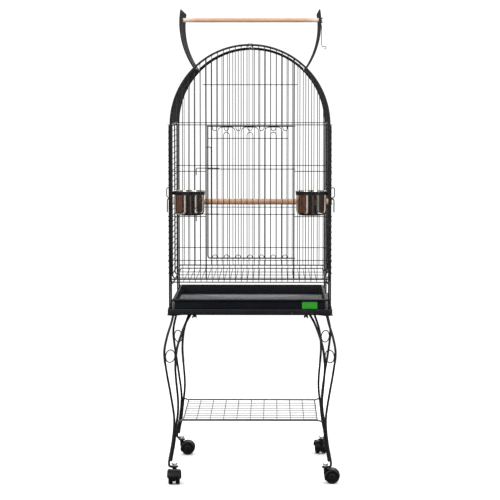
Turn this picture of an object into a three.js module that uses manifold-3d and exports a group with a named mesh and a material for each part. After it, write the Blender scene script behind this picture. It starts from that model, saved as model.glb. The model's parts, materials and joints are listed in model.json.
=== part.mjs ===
// A dome-top bird cage on a rolling stand: wire panels hooked together on a pressed frame, a slide-out
// tray and grate, a front door, two feeder doors with steel cups, two roof hatches held apart by a wooden
// play perch, and four bent-rod legs with a wire shelf and twin-wheel casters.
// Millimetres, +Z up, the front towards -Y, the origin on the floor under the cage's centre.
import * as THREE from "three";
import { mergeVertices } from "three/addons/utils/BufferGeometryUtils.js";
import Module from "manifold-3d";

const wasm = await Module();
wasm.setup();

// ---- Driving dimensions ----
const runningGap = 0.4; // between pieces that rest on or pass each other
const gapCount = 27; // spaces between the bars of every wall
const barPitch = 18.35;
const openGaps = { door: 15, feeder: 8, roofStrip: 4 };

const barRadius = 1.15;
const crossRadius = 1.25;
const railRadius = 2.1;
const postRadius = 2.5; // wall borders and arches
const jambRadius = 2.2; // the thicker uprights that doors hang on
const roofEdgeRadius = 2.1;
const eyeWire = 1.2;

const floorOfCage = 651; // bottom rail of the front and back walls
const springLine = 1136; // where the arches begin
const crossHeights = [711, 849, 991]; // the walls' cross wires
const stiffener = { above: 125, overhang: 10 }; // above the spring line
const wallOffset = 5.3; // side walls stand this far outside the front wall's borders
const lugLength = 9.3; // cross wires run this far past the borders
const sideBars = { count: 25, out: 2.5, overhang: 1.5 };

const door = { bottom: 718, top: 1132, crossings: [856, 998], upperCrossing: 1094, slack: 1.3 };
const latch = { top: 1067, upper: 1001, lower: 857, hookDrop: 22, reach: 72, bars: [30.5, 47], wire: 1.4 };

const feeder = { bottom: 841, top: 951, inset: 5.5, slack: 0.1 };
const cup = { radius: 47.8, height: 78, wall: 1, rim: 2.4, lip: 2.6, fromWall: 59, fromJamb: 71.4 };
const cupBand = { wall: 1.7, height: 10, slack: 0.5 };
const feederLatch = { pivot: 899, loopTop: 938, tailEnd: 863, reach: 12, beside: 6, wire: 1.3 };

const roofRadius = 250;
const shoulderAngle = 45; // degrees up the dome, where the hatches hinge
const shoulderRadius = 2.2;
const hatch = {
  openAngle: 80, hingeArm: 6, edgeWire: 2.3, steps: 4, crossStep: 3, tipGap: 3.4, eyeFrom: 6 * barPitch,
};
const hook = { along: 36.7, length: 66, curl: 13, wire: 1.1 };

const frame = { beyond: 11.775, top: 557.4, height: 18.8, ledge: 28, sheet: 1.5, strap: 34 };
const tray = { overLedge: 6.5, depth: 461, height: 31, wall: 2.6, lip: 5, lipHeight: 6, front: 256, flange: 6 };
const label = { width: 48, height: 22, centre: 188, thickness: 0.6 };
const grate = {
  height: 641, edgeRadius: 1.8, sideGap: 6.7, endGap: 6, ledgeReach: 3.5, edgeDrop: 1.2, crossings: [-80, 26, 130],
};

const innerPerch = { radius: 9.75, height: 882, pastWall: 0.8 };
const topPerch = { radius: 7, height: springLine + 335 };

const legRadius = 3.75;
// Each rod of a leg: how far its axis stands from the cage's centre planes, and its height.
const outerRod = [[242.5, 535.5], [249, 509], [262, 466], [269.5, 418], [262, 353], [252, 292], [241.5, 220],
  [241, 178], [246, 130], [252.5, 92], [256.5, 68], [255, 57], [248, 52.6]];
const innerRod = [[188, 535.5], [205, 506], [219, 470], [231.5, 427], [236.6, 374], [234, 325], [229, 268],
  [229, 226], [234.5, 180], [240, 128], [246.4, 92], [250, 72]];
const legTies = [174, 80]; // heights of the blocks that join a leg's two rods
const legPlate = { from: 168, to: 252, width: 30, thickness: 2.5 };
const ornament = { height: 407, wire: 1.75 };
const legBoltAt = 178;

const shelf = {
  height: 195, width: 435, depth: 410, bars: 9, crossings: 11, edge: 2.8, side: 2.2, wire: 1.25,
};

const caster = { at: 240, trail: 21, wheel: 22.5, wheelWidth: 13.5, web: 8, hoodWidth: 44, hoodWall: 1.6 };
const stem = { radius: 4, top: 58, pad: 12, padThickness: 4, padBottom: 50 };
// Which way each caster trails: 0 is towards +X, 90 is towards +Y.
const corners = [
  { name: "front_left", turn: -135, trail: -90 }, { name: "front_right", turn: -45, trail: 0 },
  { name: "back_right", turn: 45, trail: 98 }, { name: "back_left", turn: 135, trail: 0 },
];

// ---- Sizes that follow ----
const halfBorder = (gapCount * barPitch) / 2;
const sideX = halfBorder + wallOffset;
const barPlaces = Array.from({ length: gapCount - 1 }, (_, i) => (i + 1) * barPitch - halfBorder);
const frontY = -(halfBorder + 3.3);
const jambX = (openGaps.door * barPitch) / 2;
const jambRing = jambRadius + eyeWire + 0.7; // radius of a hinge eye's centre line round a jamb
const feederJamb = barPlaces[0];
const feederEnd = barPlaces[openGaps.feeder];
const stripEdge = halfBorder - openGaps.roofStrip * barPitch;
const roofEnd = halfBorder - 3.1;
const frameHalf = halfBorder + frame.beyond;
const trayWidth = 2 * (frameHalf - frame.ledge + tray.overLedge);
const trayFlangeWidth = trayWidth + 22;
const frameBottom = frame.top - frame.height;
const postFoot = frame.top + 0.3;
const sideTop = springLine - 4;
const sideBarFace = sideX + sideBars.out + sectionRadius(barRadius, 3); // outer side of the level bars
const hatchEnd = stripEdge - halfWidth(roofEdgeRadius, 4) - halfWidth(hatch.edgeWire, 4) - runningGap;
const bump = { bar: halfWidth(barRadius, 3), cross: halfWidth(crossRadius, 4) };
const crossOffset = bump.bar + bump.cross + 0.3; // cross wires lie outside the bars
const latchOffset = crossOffset + bump.cross + runningGap + halfWidth(latch.wire, 4);
const cupX = sideX - cup.fromWall;
const cupY = feederJamb + cup.fromJamb;
const bandTop = feeder.bottom + 82;
const radians = THREE.MathUtils.degToRad;

// ---- Solids ----
/** The radius that gives a polygon of this many sides the area of a round section. */
function sectionRadius(radius, sides) {
  return radius * Math.sqrt((2 * Math.PI) / (sides * Math.sin((2 * Math.PI) / sides)));
}

/** How far a three- or four-sided section reaches from its middle across a crossing wire. */
function halfWidth(radius, sides) {
  return sectionRadius(radius, sides) * (sides === 4 ? Math.SQRT1_2 : Math.sin(Math.PI / 3));
}

/** A regular polygon with the area of a round section; a square has its sides along the axes. */
function section(radius, sides) {
  const r = sectionRadius(radius, sides);
  const start = sides === 4 ? 0.5 : 0;
  const angle = (i) => (2 * Math.PI * (i + start)) / sides;
  const corner = (i) => new THREE.Vector2(r * Math.cos(angle(i)), r * Math.sin(angle(i)));
  return new THREE.Shape(Array.from({ length: sides }, (_, i) => corner(i)));
}

/** A path through points, with one step of the sweep for each stretch between them. */
class WirePath extends THREE.Curve {
  constructor(points) {
    super();
    this.points = points.map((p) => new THREE.Vector3(...p));
  }
  getPoint(t, target = new THREE.Vector3()) {
    const at = t * (this.points.length - 1);
    const i = Math.min(Math.floor(at), this.points.length - 2);
    return target.lerpVectors(this.points[i], this.points[i + 1], at - i);
  }
  getPointAt(u, target) {
    return this.getPoint(u, target);
  }
  getTangentAt(u, target = new THREE.Vector3()) {
    const last = this.points.length - 1;
    const i = Math.round(u * last);
    const unit = (a, b) => new THREE.Vector3().subVectors(this.points[b], this.points[a]).normalize();
    const before = unit(Math.max(i - 1, 0), Math.max(i, 1));
    const after = unit(Math.min(i, last - 1), Math.min(i + 1, last));
    return target.addVectors(before, after).normalize();
  }
}

/** Turns a closed geometry into a solid that can be joined and cut. */
function solid(geometry) {
  const bare = geometry.clone();
  bare.deleteAttribute("normal");
  bare.deleteAttribute("uv");
  const merged = mergeVertices(bare, 1e-3);
  return new wasm.Manifold(new wasm.Mesh({
    numProp: 3,
    vertProperties: new Float32Array(merged.attributes.position.array),
    triVerts: new Uint32Array(merged.index.array),
  }));
}

const join = (...solids) => solids.flat(Infinity).reduce((sum, next) => sum.add(next));

/** A straight rod between two points. */
function rod(from, to, radius, sides = 4) {
  const start = new THREE.Vector3(...from);
  const run = new THREE.Vector3(...to).sub(start);
  const settings = { depth: run.length(), bevelEnabled: false };
  const geometry = new THREE.ExtrudeGeometry(section(radius, sides), settings);
  const up = new THREE.Vector3(0, 0, 1);
  geometry.applyQuaternion(new THREE.Quaternion().setFromUnitVectors(up, run.normalize()));
  return solid(geometry.translate(start.x, start.y, start.z));
}

/** A bent wire along points. */
function bentWire(points, radius, sides = 4) {
  const path = new WirePath(points);
  const settings = { extrudePath: path, steps: points.length - 1, bevelEnabled: false };
  return solid(new THREE.ExtrudeGeometry(section(radius, sides), settings));
}

/** A rod along a smooth curve through [distance, height] points, in the plane y = 0. */
function curvedRod(points, radius, sides, steps) {
  const curve = new THREE.CatmullRomCurve3(points.map(([x, z]) => new THREE.Vector3(x, 0, z)));
  return bentWire(curve.getPoints(steps).map((p) => p.toArray()), radius, sides);
}

/** A wire ring round an axis that points along x, y or z. */
function ring(centre, axis, ringRadius, wireRadius, sides = 4, steps = 8) {
  const geometry = new THREE.TorusGeometry(ringRadius, wireRadius, sides, steps);
  if (axis === "x") geometry.rotateY(Math.PI / 2);
  if (axis === "y") geometry.rotateX(Math.PI / 2);
  return solid(geometry.translate(...centre));
}

/** A box between two corners. */
function block(low, high) {
  const size = low.map((v, i) => high[i] - v);
  return solid(new THREE.BoxGeometry(...size).translate(...low.map((v, i) => v + size[i] / 2)));
}

/** A round solid about Z from [radius, height] points that start and end on the axis or meet themselves. */
function turned(profile, segments, turn = 0) {
  const geometry = new THREE.LatheGeometry(profile.map(([r, z]) => new THREE.Vector2(r, z)), segments);
  return solid(geometry.rotateX(Math.PI / 2).rotateZ(turn));
}

/** A flat outline in x and z, with its thickness centred on y = 0. */
function slab(outline, thickness, curveSegments = 6) {
  const corners = (points) => new THREE.Shape(points.map((p) => new THREE.Vector2(...p)));
  const shape = outline instanceof THREE.Shape ? outline : corners(outline);
  const geometry = new THREE.ExtrudeGeometry(shape, { depth: thickness, bevelEnabled: false, curveSegments });
  return solid(geometry.translate(0, 0, -thickness / 2).rotateX(Math.PI / 2));
}

/** A wing nut on a washer, standing on z = 0, with a shank that reaches down through what it clamps. */
function wingNut(washerRadius, hubRadius, shankRadius, shankLength) {
  const disc = (r, low, high, sides) => rod([0, 0, low], [0, 0, high], r, sides);
  const wing = [[1.5, 1.6], [4, 1.6], [9.5, 6], [8.6, 10], [5.5, 8.5], [1.5, 5]];
  const mirrored = wing.map(([x, z]) => [-x, z]).reverse();
  return join(disc(washerRadius, 0, 1.3, 10), disc(hubRadius, 1, 6.4, 6), slab(wing, 1.8), slab(mirrored, 1.8),
    shankLength ? disc(shankRadius, -shankLength, 1, 6) : []);
}

// ---- Scene graph ----
const cage = new THREE.Group();
const paint = (color, roughness, metalness) => new THREE.MeshStandardMaterial({ color, roughness, metalness });
const finish = {
  blackWire: paint(0x2a2a2c, 0.45, 0.4),
  blackFrame: paint(0x232227, 0.5, 0.3),
  trayPlastic: paint(0x141922, 0.5, 0),
  wood: paint(0xd7b49b, 0.6, 0),
  steel: paint(0xb9b5b0, 0.2, 1),
  zinc: paint(0x8f9092, 0.35, 1),
  wheelPlastic: paint(0x2b2b2d, 0.45, 0),
  shelfWire: paint(0x9a9c9e, 0.4, 0.6),
  label: paint(0x3f9a35, 0.5, 0),
};

/** Adds one named piece to a group. */
function piece(name, made, material, group = cage) {
  const mesh = made.getMesh();
  const geometry = new THREE.BufferGeometry();
  geometry.setAttribute("position", new THREE.BufferAttribute(mesh.vertProperties, 3));
  geometry.setIndex(new THREE.BufferAttribute(mesh.triVerts, 1));
  const node = new THREE.Mesh(geometry, material);
  node.name = name;
  group.add(node);
  return node;
}

/** A group set at a place and turned about one axis. */
function placed(x, y, z, turn = 0, axis = "z", parent = cage) {
  const group = new THREE.Group();
  group.position.set(x, y, z);
  group.rotation[axis] = turn;
  parent.add(group);
  return group;
}

// ---- Front and back walls ----
const archHeight = (x) => springLine + Math.sqrt(halfBorder ** 2 - x ** 2);

/** The border of an arched wall: up one side, over the arch, down the other. */
function archBorder(y) {
  const steps = 20;
  const over = Array.from({ length: steps + 1 }, (_, i) => {
    const angle = Math.PI * (1 - i / steps);
    return [halfBorder * Math.cos(angle), y, springLine + halfBorder * Math.sin(angle)];
  });
  return bentWire([[-halfBorder, y, postFoot], ...over, [halfBorder, y, postFoot]], postRadius);
}

/** A cross wire at one height, outside the bars. */
const crossWire = (y, z, from, to) => rod([from, y, z], [to, y, z], crossRadius);

function backWall() {
  const y = -frontY;
  const bars = barPlaces.map((x) => rod([x, y, floorOfCage], [x, y, archHeight(x)], barRadius, 3));
  const reach = halfBorder + lugLength;
  const crossings = [...crossHeights, springLine].map((z) => crossWire(y + crossOffset, z, -reach, reach));
  return join(archBorder(y), rod([-halfBorder, y, floorOfCage], [halfBorder, y, floorOfCage], railRadius),
    bars, crossings);
}

function frontWall() {
  const y = frontY;
  const reach = halfBorder + lugLength;
  const bars = barPlaces.map((x) => {
    const overDoor = Math.abs(x) < jambX - 1;
    const jamb = Math.abs(Math.abs(x) - jambX) < 1;
    const bar = (low, high) => rod([x, y, low], [x, y, high], jamb ? jambRadius : barRadius, jamb ? 6 : 3);
    if (!overDoor) return bar(floorOfCage, archHeight(x));
    return [bar(floorOfCage, crossHeights[0] + 2), bar(springLine - 1.4, archHeight(x))];
  });
  const wide = [crossHeights[0], springLine].map((z) => crossWire(y - crossOffset, z, -reach, reach));
  const beside = crossHeights.slice(1).map((z) => [
    crossWire(y - crossOffset, z, -reach, -jambX + 1), crossWire(y - crossOffset, z, jambX - 1, reach)]);
  const over = jambX + stiffener.overhang;
  return join(archBorder(y), rod([-halfBorder, y, floorOfCage], [halfBorder, y, floorOfCage], railRadius),
    bars, wide, beside, crossWire(y - crossOffset, springLine + stiffener.above, -over, over));
}

// ---- Side walls: level bars outside the uprights, with an opening for the feeder door ----
function rightWall() {
  const x = sideX;
  const out = sideX + sideBars.out;
  const end = halfBorder + sideBars.overhang;
  const upright = (y, radius, sides) => rod([x, y, floorOfCage], [x, y, sideTop], radius, sides);
  const along = (at, z, from, to, radius, sides) => rod([at, from, z], [at, to, z], radius, sides);
  const bars = Array.from({ length: sideBars.count }, (_, i) => {
    const z = floorOfCage + ((sideTop - floorOfCage) * (i + 1)) / (sideBars.count + 1);
    const beside = z > feeder.bottom && z < feeder.top;
    return along(out, z, beside ? feederEnd - 1 : -end, end, barRadius, 3);
  });
  const ledgeX = halfBorder - grate.sideGap + grate.ledgeReach;
  const ledgeZ = grate.height - grate.edgeDrop - 2 * halfWidth(grate.edgeRadius, 4) - runningGap;
  const ledgeStubs = [-200, -70, 70, 200].map((y) => rod([x, y, floorOfCage], [ledgeX, y, ledgeZ], railRadius));
  return join(
    [-halfBorder, halfBorder].map((y) => rod([x, y, postFoot], [x, y, sideTop], postRadius)),
    [sideTop, floorOfCage].map((z) => along(x, z, -halfBorder, halfBorder, railRadius)),
    upright(feederJamb, jambRadius, 6), upright(feederEnd, jambRadius), upright(-feederEnd, jambRadius), bars,
    [feeder.bottom, feeder.top].map((z) => along(x, z, feederJamb, feederEnd, railRadius)),
    along(ledgeX, ledgeZ, -halfBorder + 8, halfBorder - 8, grate.edgeRadius), ledgeStubs);
}

// ---- Roof: one curved panel on each side of the ridge ----
/** A point of the dome's left half, an angle in degrees up from the spring line. */
function domePoint(angle, y, radius = roofRadius) {
  return [-radius * Math.cos(radians(angle)), y, springLine + radius * Math.sin(radians(angle))];
}

function domeArc(y, from, to, steps, radius, sides) {
  const angle = (i) => from + ((to - from) * i) / steps;
  return bentWire(Array.from({ length: steps + 1 }, (_, i) => domePoint(angle(i), y)), radius, sides);
}

const ridgeAngle = 89.4;
const eavesAngle = 0.5;
const hatchFirst = shoulderAngle + THREE.MathUtils.radToDeg(hatch.hingeArm / roofRadius);
const hatchLast = 90 - THREE.MathUtils.radToDeg(hatch.tipGap / roofRadius);
const hatchCrossing = hatchFirst + ((hatchLast - hatchFirst) * hatch.crossStep) / hatch.steps;

function roofHalf() {
  const short = barPlaces.filter((y) => Math.abs(y) < stripEdge - 1);
  const strip = barPlaces.filter((y) => Math.abs(y) > stripEdge + 1);
  const across = (angle, from, to, radius, sides = 4) =>
    rod(domePoint(angle, from), domePoint(angle, to), radius, sides);
  const edges = [-roofEnd, -stripEdge, stripEdge, roofEnd];
  return join(
    short.map((y) => domeArc(y, eavesAngle, shoulderAngle, 3, barRadius, 3)),
    strip.map((y) => domeArc(y, eavesAngle, ridgeAngle, 6, barRadius, 3)),
    edges.map((y) => domeArc(y, eavesAngle, ridgeAngle, 6, roofEdgeRadius, 4)),
    across(eavesAngle, -roofEnd, roofEnd, railRadius),
    across(shoulderAngle, -stripEdge, stripEdge, shoulderRadius, 6),
    across(ridgeAngle, -roofEnd, -stripEdge, roofEdgeRadius),
    across(ridgeAngle, stripEdge, roofEnd, roofEdgeRadius));
}

/** A saddle that clips the two roof halves together over the ridge. */
function ridgeClip() {
  const top = springLine + roofRadius;
  const inner = 5.6;
  const outline = [[-inner - 1.6, -5], [-inner - 1.6, 5.2], [inner + 1.6, 5.2], [inner + 1.6, -5], [inner, -5],
    [inner, 3.4], [-inner, 3.4], [-inner, -5]];
  return slab(outline.map(([x, z]) => [x, z + top]), 12);
}

/** A hatch shut in the dome, measured from its hinge: bars, edge wires, cross wire, tips and two hinge eyes. */
function hatchPanel() {
  const hinge = domePoint(shoulderAngle, 0);
  const middle = barPitch / 2;
  const bars = barPlaces.filter((y) => Math.abs(y) < hatchEnd - 5);
  const across = (angle, from, to, radius, r = roofRadius) =>
    rod(domePoint(angle, from, r), domePoint(angle, to, r), radius);
  const eyes = [-hatch.eyeFrom, hatch.eyeFrom].map((y) => [
    ring([hinge[0], y, hinge[2]], "y", 4.2, eyeWire, 4, 8),
    rod(domePoint(shoulderAngle + 1, y), domePoint(hatchFirst, y), eyeWire)]);
  const shut = join(
    bars.map((y) => domeArc(y, hatchFirst, hatchLast, hatch.steps, barRadius, 3)),
    [-hatchEnd, hatchEnd].map((y) => domeArc(y, hatchFirst, hatchLast, hatch.steps, hatch.edgeWire, 4)),
    across(hatchFirst, -hatchEnd, hatchEnd, hatch.edgeWire),
    across(hatchLast, -hatchEnd, -middle, hatch.edgeWire), across(hatchLast, middle, hatchEnd, hatch.edgeWire),
    across(hatchCrossing, -hatchEnd, hatchEnd, crossRadius, roofRadius + crossOffset), eyes);
  return shut.translate([-hinge[0], 0, -hinge[2]]);
}

/** The wire hook that hangs on a hatch's cross wire, its eye at the origin. */
function hatchHook() {
  const x = hook.curl;
  const drop = hook.length;
  return join(ring([0, 0, 0], "y", 3.6, hook.wire, 4, 8), bentWire([[3, 0, -2], [3.5, 0, -drop * 0.3],
    [3, 0, -drop * 0.7], [6, 0, -drop], [x * 0.9, 0, -drop * 0.97], [x + 6, 0, -drop * 1.02],
    [x, 0, -drop * 1.1]], hook.wire));
}

// ---- Front door ----
function frontDoor() {
  const y = frontY;
  const edge = -jambX + jambRadius + railRadius + door.slack;
  const bars = barPlaces.filter((x) => Math.abs(x) < jambX - 1);
  const eye = (z) => ring([jambX, y, z], "z", jambRing, eyeWire, 4, 8);
  const rail = (z) => rod([edge, y, z], [jambX - jambRing, y, z], railRadius);
  return join(
    rod([edge, y, door.bottom], [edge, y, door.top], jambRadius), rail(door.bottom), rail(door.top),
    bars.map((x) => rod([x, y, door.bottom], [x, y, door.top], barRadius, 3)),
    door.crossings.map((z) => [crossWire(y - crossOffset, z, edge, jambX - 3), eye(z)]),
    crossWire(y - crossOffset, door.upperCrossing, edge, bars.at(-1)), eye(door.bottom), eye(door.top));
}

/** The sliding latch: a tall wire handle with two arms that reach past the door's edge. */
function doorLatch() {
  const y = frontY - latchOffset;
  const left = -jambX - latch.bars[0];
  const arm = (z) => bentWire([[left, y, z - latch.hookDrop], [left, y, z - 3], [left + 3, y, z],
    [left + latch.reach, y, z]], latch.wire);
  const [a, b] = latch.bars.map((along) => left + along);
  return join(arm(latch.upper), arm(latch.lower), bentWire([[a, y, latch.lower], [a, y, latch.top],
    [b, y, latch.top], [b, y, latch.lower]], latch.wire));
}

// ---- Feeder doors, bands, cups and latches ----
function feederDoor(side) {
  const x = side * sideX;
  const end = feederEnd - (jambRadius + railRadius + feeder.slack);
  const [low, high] = [feeder.bottom + feeder.inset, feeder.top - feeder.inset];
  const bars = barPlaces.filter((y) => y > feederJamb + 1 && y < feederEnd - 1);
  return join(
    [low, high].map((z) => [ring([x, feederJamb, z], "z", jambRing, eyeWire, 4, 8),
      rod([x, feederJamb + jambRing, z], [x, end, z], railRadius)]),
    bars.map((y) => rod([x, y, low], [x, y, high], barRadius, 3)),
    rod([x, end, low], [x, end, high], railRadius));
}

const cupSegments = 16;

/** The band that holds a cup, with two arms that hook to the door. */
function cupHolder(side) {
  const inner = cup.radius + cupBand.slack;
  const outer = inner + cupBand.wall;
  const low = bandTop - cupBand.height;
  const outline = [[inner, low], [outer, low], [outer, bandTop], [inner, bandTop], [inner, low]];
  const band = turned(outline, cupSegments);
  const arms = [-13, 13].map((y) => block([-cup.fromWall + bump.bar + runningGap, y - 2.5, low + 3],
    [-outer * 0.94, y + 2.5, low + 6.5]));
  const held = join(band, arms);
  return (side < 0 ? held : held.rotate([0, 0, 180])).translate([side * cupX, cupY, 0]);
}

function feederCup() {
  const top = bandTop + runningGap + cup.rim;
  const foot = top - cup.height;
  const r = cup.radius;
  const inside = r - cup.wall;
  return turned([[0, foot], [r - 12, foot], [r - 4, foot + 3], [r, foot + 11], [r, top - cup.rim],
    [r + cup.lip, top - cup.rim], [r + cup.lip, top], [inside, top], [inside, foot + 11],
    [inside - 4, foot + 4], [inside - 12, foot + 1], [0, foot + 1]], cupSegments);
}

/** A turn latch on the side wall: a wire loop to grip and a tail that turns across the feeder door. */
function turnLatch(side) {
  const near = side * (sideX + crossOffset + bump.cross + runningGap + 1.5);
  const far = near + side * feederLatch.reach;
  const y = feederEnd + feederLatch.beside;
  const { pivot, loopTop, tailEnd } = feederLatch;
  return join(rod([near, y, tailEnd], [near, y, loopTop - 3], feederLatch.wire),
    bentWire([[near, y, pivot], [far, y, pivot + 6], [far, y, loopTop - 5], [(near + far) / 2, y, loopTop],
      [near, y, loopTop - 5]], feederLatch.wire));
}

// ---- Frame, tray and grate ----
function pressedFrame() {
  const half = frameHalf;
  const inside = half - frame.ledge;
  const square = (h, low, high) => block([-h, -h, low], [h, h, high]);
  const shell = square(half, frameBottom, frame.top)
    .subtract(square(half - frame.sheet, frameBottom - 1, frame.top - frame.sheet))
    .subtract(square(inside, frameBottom - 1, frame.top + 1));
  const arm = frame.strap / 2;
  const gussets = corners.map(({ turn }) => {
    const [from, to] = [legPlate.from * Math.SQRT2, half * Math.SQRT2 - arm];
    const strap = block([from, -arm, frameBottom], [to, arm, frameBottom + 2]);
    const bolt = legBoltAt * Math.SQRT2;
    const hole = rod([bolt, 0, frameBottom - 1], [bolt, 0, frameBottom + 4], 3.4, 8);
    return strap.subtract(hole).rotate([0, 0, turn]);
  });
  return join(shell, gussets);
}

const trayFloor = frame.top + 0.3;
const trayTop = trayFloor + tray.height;

function slidingTray() {
  const half = trayWidth / 2;
  const [front, back] = [-tray.front, -tray.front + tray.depth];
  const lipLow = trayTop - tray.lipHeight;
  const body = block([-half, front, trayFloor], [half, back, trayTop]);
  const lip = block([-half - tray.lip, front, lipLow], [half + tray.lip, back + tray.lip, trayTop]);
  const wide = trayFlangeWidth / 2;
  const flange = block([-wide, front - tray.flange, lipLow], [wide, front - 0.5, trayTop]);
  const nose = block([-half, front - tray.flange + 1, lipLow], [half, front + 1, trayTop]);
  const under = block([-half - tray.lip + 2, front - tray.flange + 2, lipLow - 1],
    [half + tray.lip - 2, back + tray.lip - 2, trayTop - 2]);
  const w = tray.wall;
  const beside = under.subtract(block([-half, front, 0], [half, back, 2000]));
  return join(body, lip.add(flange).add(nose).subtract(beside))
    .subtract(block([-half + w, front + w, trayFloor + w], [half - w, back - w, trayTop + 1]));
}

function trayLabel() {
  const low = trayFloor + 1;
  return block([label.centre - label.width / 2, -tray.front - 0.3 - label.thickness, low],
    [label.centre + label.width / 2, -tray.front - 0.3, low + label.height]);
}

function floorGrate() {
  const half = halfBorder - grate.sideGap;
  const end = halfBorder - grate.endGap;
  const z = grate.height;
  const under = z - bump.bar - bump.cross - 0.3;
  const edgeZ = z - grate.edgeDrop;
  return join(
    [-half, half].map((x) => rod([x, -end, edgeZ], [x, end, edgeZ], grate.edgeRadius)),
    [-end, end].map((y) => rod([-half, y, z], [half, y, z], grate.edgeRadius)),
    barPlaces.slice(1, -1).map((x) => rod([x, -end, z], [x, end, z], barRadius, 3)),
    grate.crossings.map((y) => rod([-half, y, under], [half, y, under], crossRadius)));
}

// ---- Stand ----
/** One leg in its own plane: x is the distance from the cage's axis along the diagonal. */
function leg() {
  const d = (s) => s * Math.SQRT2;
  const diagonal = (points) => points.map(([s, z]) => [d(s), z]);
  const at = (points, z) => {
    const i = points.findIndex((p) => p[1] <= z);
    const [a, b] = [points[i - 1], points[i]];
    return d(a[0] + ((b[0] - a[0]) * (z - a[1])) / (b[1] - a[1]));
  };
  const plateTop = frameBottom - 0.3;
  const plate = block([d(legPlate.from), -legPlate.width / 2, plateTop - legPlate.thickness],
    [d(legPlate.to), legPlate.width / 2, plateTop]).subtract(
    rod([d(legBoltAt), 0, plateTop - 9], [d(legBoltAt), 0, plateTop + 1], 3.4, 8));
  const ties = legTies.map((z) => block([at(innerRod, z) - 3, -3, z - 5], [at(outerRod, z) + 3, 3, z + 5]));
  const [a, b] = [at(innerRod, ornament.height), at(outerRod, ornament.height)];
  const circleRadius = (b - a) / 2 - legRadius - 0.9;
  const circle = ring([(a + b) / 2, 0, ornament.height], "y", circleRadius, ornament.wire, 3, 10);
  const padAt = d(caster.at);
  const pad = rod([padAt, 0, stem.padBottom], [padAt, 0, stem.padBottom + stem.padThickness], stem.pad, 8)
    .subtract(rod([padAt, 0, 0], [padAt, 0, 99], stem.radius + 0.5, 8));
  return join(curvedRod(diagonal(outerRod), legRadius, 5, 14), curvedRod(diagonal(innerRod), legRadius, 5, 11),
    plate, ties, circle, pad);
}

function wireShelf() {
  const [x, y, z] = [shelf.width / 2, shelf.depth / 2, shelf.height];
  const reach = innerRod.find((p) => p[1] < z)[0] - legRadius - 2.2;
  const edge = (s) =>
    bentWire([[-reach, s * reach, z], [-x, s * y, z], [x, s * y, z], [reach, s * reach, z]], shelf.edge);
  const spread = (count, half) =>
    Array.from({ length: count }, (_, i) => -half + (2 * half * (i + 1)) / (count + 1));
  const under = z - 2 * sectionRadius(shelf.wire, 3) - 0.3;
  return join(edge(-1), edge(1), [-x + 3, x - 3].map((at) => rod([at, -y, z - 2], [at, y, z - 2], shelf.side)),
    spread(shelf.bars, x - 3).map((at) => rod([at, -y, z], [at, y, z], shelf.wire, 3)),
    spread(shelf.crossings, y).map((at) => rod([-x + 3, at, under], [x - 3, at, under], shelf.wire, 3)));
}

/** A caster's hood with its web, axle hole and stem, about the swivel axis, trailing towards +X. */
function casterHood() {
  const c = caster;
  const outer = c.wheel + 2.7;
  const inner = outer - c.hoodWall;
  const canopy = new THREE.Shape().absarc(0, 0, outer, radians(-20), radians(215), false);
  canopy.absarc(0, 0, inner, radians(215), radians(-20), true);
  const web = new THREE.Shape().absarc(0, 0, outer - 0.8, radians(-35), radians(230), false);
  const stemFoot = c.wheel + outer - 6;
  const hood = join(slab(canopy, c.hoodWidth, 10), slab(web, c.web, 6)).subtract(
    rod([0, -c.hoodWidth, 0], [0, c.hoodWidth, 0], 3.5, 10)).translate([c.trail, 0, c.wheel]);
  const neck = block([-6, -c.web / 2, c.wheel + 6], [c.trail - 8, c.web / 2, stemFoot + 4]);
  return join(hood, neck, rod([0, 0, c.wheel + 8], [0, 0, stem.top], stem.radius, 8),
    rod([0, 0, stem.padBottom - 6], [0, 0, stem.padBottom - 0.6], 7, 8));
}

/** Both wheels of a caster on their axle, about the axle's middle. */
function wheelPair() {
  const n = 16;
  const r = caster.wheel / Math.cos(Math.PI / n);
  const inside = caster.web / 2 + 0.8;
  const outside = inside + caster.wheelWidth;
  const half = [[2.9, inside], [r - 1.5, inside], [r, inside + 1.5], [r, outside - 2.5], [r - 2.5, outside],
    [0, outside]];
  const mirrored = half.map(([radius, z]) => [radius, -z]).reverse();
  return turned([...mirrored, ...half], n, Math.PI / n).rotate([90, 0, 0]);
}

// ---- Assembly ----
piece("base_frame", pressedFrame(), finish.blackFrame);
piece("tray", slidingTray(), finish.trayPlastic);
piece("tray_label", trayLabel(), finish.label);
piece("floor_grate", floorGrate(), finish.blackWire);
piece("front_panel", frontWall(), finish.blackWire);
piece("back_panel", backWall(), finish.blackWire);
piece("front_door", frontDoor(), finish.blackWire);
piece("door_latch", doorLatch(), finish.blackWire);

const roof = roofHalf();
const lid = hatchPanel();
const hinge = domePoint(shoulderAngle, 0);
for (const [name, turn] of [["left", 0], ["right", Math.PI]]) {
  const half = placed(0, 0, 0, turn);
  piece("roof_" + name, roof, finish.blackWire, half);
  const pivot = placed(...hinge, -radians(hatch.openAngle), "y", half);
  piece("hatch_" + name, lid, finish.blackWire, pivot);
}
for (const [name, y] of [["front", -stripEdge - 1.5 * barPitch], ["back", stripEdge + 1.5 * barPitch]])
  piece("ridge_clip_" + name, ridgeClip(), finish.zinc, placed(0, y, 0));

// The hook hangs from the right hatch's cross wire.
const crossAt = new THREE.Vector3(...domePoint(hatchCrossing, 0, roofRadius + crossOffset))
  .sub(new THREE.Vector3(...hinge)).applyAxisAngle(new THREE.Vector3(0, 1, 0), -radians(hatch.openAngle))
  .add(new THREE.Vector3(...hinge));
piece("hatch_hook", hatchHook(), finish.zinc, placed(-crossAt.x, -hook.along, crossAt.z));

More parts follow.
